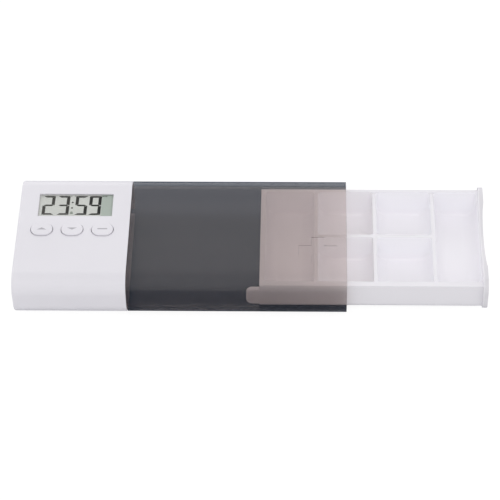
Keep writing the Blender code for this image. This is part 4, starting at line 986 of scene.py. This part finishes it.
def make_camera():
    """The photograph's view: from in front and above, through a long lens."""
    yaw, pitch, roll = (math.radians(a) for a in (CAMERA_YAW, CAMERA_PITCH, CAMERA_ROLL))
    level = math.cos(pitch)
    forward = Vector((math.sin(yaw) * level, math.cos(yaw) * level, -math.sin(pitch)))
    right = Vector((math.cos(yaw), -math.sin(yaw), 0.0))
    up = right.cross(forward)
    side = right * math.cos(roll) + up * math.sin(roll)
    top = up * math.cos(roll) - right * math.sin(roll)
    data = bpy.data.cameras.new("camera")
    data.lens = CAMERA_LENS
    data.sensor_width = CAMERA_SENSOR
    data.clip_start = CAMERA_NEAR
    data.clip_end = CAMERA_FAR
    camera = bpy.data.objects.new("camera", data)
    camera.matrix_world = Matrix((
        (side.x, top.x, -forward.x, CAMERA_PLACE.x),
        (side.y, top.y, -forward.y, CAMERA_PLACE.y),
        (side.z, top.z, -forward.z, CAMERA_PLACE.z),
        (0.0, 0.0, 0.0, 1.0),
    ))
    bpy.context.scene.collection.objects.link(camera)
    bpy.context.scene.camera = camera


def make_card():
    """White card, pure white to the camera.

    The photograph is a cut-out: only the dark table under the real sleeve shows, through it. So
    what is seen or mirrored through plastic is that table, and what lights the box is the card.
    """
    material, tree, shader = new_material("white_card")
    tree.nodes.remove(shader)
    rays = add_node(tree, "ShaderNodeLightPath").outputs
    glow = add_node(tree, "ShaderNodeEmission", {"Color": linear("FFFFFF"), "Strength": FLOOR_GLOW})
    face = add_node(tree, "ShaderNodeBsdfDiffuse", {"Color": linear("6C6C6C")})
    card = add_node(tree, "ShaderNodeAddShader", (glow, face))
    bounce = add_node(tree, "ShaderNodeBsdfDiffuse", {"Color": linear("F3F3F3")})
    table = add_node(tree, "ShaderNodeBsdfDiffuse", {"Color": linear("6C7481")})
    unseen = add_node(tree, "ShaderNodeMixShader", (rays["Is Diffuse Ray"], table, bounce))
    direct = add_node(tree, "ShaderNodeMath", (rays["Transparent Depth"], 0.5), operation="LESS_THAN")
    seen = add_node(tree, "ShaderNodeMath", (rays["Is Camera Ray"], direct), operation="MULTIPLY")
    mix = add_node(tree, "ShaderNodeMixShader", (seen, unseen, card))
    tree.links.new(mix.outputs[0], tree.nodes["Material Output"].inputs["Surface"])
    return material


def make_floor():
    """A wide floor just under the box."""
    shape = bmesh.new()
    bmesh.ops.create_grid(shape, x_segments=1, y_segments=1, size=FLOOR_HALF)
    floor = shown("floor", to_mesh(shape, "floor"))
    floor.location.z = -FLOOR_DROP
    floor.data.materials.append(make_card())


def make_sky():
    """An even white sky, brighter to both sides and in a low strip behind the box."""
    world = bpy.data.worlds.new("studio")
    world.use_nodes = True
    tree = world.node_tree
    sky = tree.nodes["Background"].inputs
    sky["Color"].default_value = linear("FFFFFF")
    place = add_node(tree, "ShaderNodeTexCoord").outputs["Generated"]
    towards = add_node(tree, "ShaderNodeSeparateXYZ", (place,)).outputs
    aside = add_node(tree, "ShaderNodeMath", (towards["X"],), operation="ABSOLUTE")
    square = add_node(tree, "ShaderNodeMath", (aside, 2.0), operation="POWER")
    sides = add_node(tree, "ShaderNodeMath", (square, SIDE_LIGHT, SKY), operation="MULTIPLY_ADD")
    behind = add_node(tree, "ShaderNodeMapRange", (towards["Y"], *BACK_BAND, 0.0, BACK_LIGHT))
    low = add_node(tree, "ShaderNodeMapRange", (towards["Z"], *BACK_TOP_BAND, 1.0, 0.0))
    strip = add_node(tree, "ShaderNodeMath", (behind, low), operation="MULTIPLY")
    total = add_node(tree, "ShaderNodeMath", (sides, strip), operation="ADD")
    tree.links.new(total.outputs[0], sky["Strength"])
    bpy.context.scene.world = world


def make_softbox():
    """A broad softbox overhead, a little to the front, that shows in no reflection."""
    data = bpy.data.lights.new("softbox", "SUN")
    data.energy = SOFTBOX * math.pi
    data.angle = math.radians(SOFTBOX_WIDTH)
    lamp = bpy.data.objects.new("softbox", data)
    lamp.rotation_euler = (math.radians(SOFTBOX_TILT), 0.0, 0.0)
    lamp.visible_glossy = False
    bpy.context.scene.collection.objects.link(lamp)


bpy.context.scene.view_settings.view_transform = "Standard"
make_camera()
make_floor()
make_sky()
make_softbox()
build_head_shell()
build_buttons()
build_display()
build_marks()
build_sleeve()
build_tray()
build_screws()
finish_nodes()
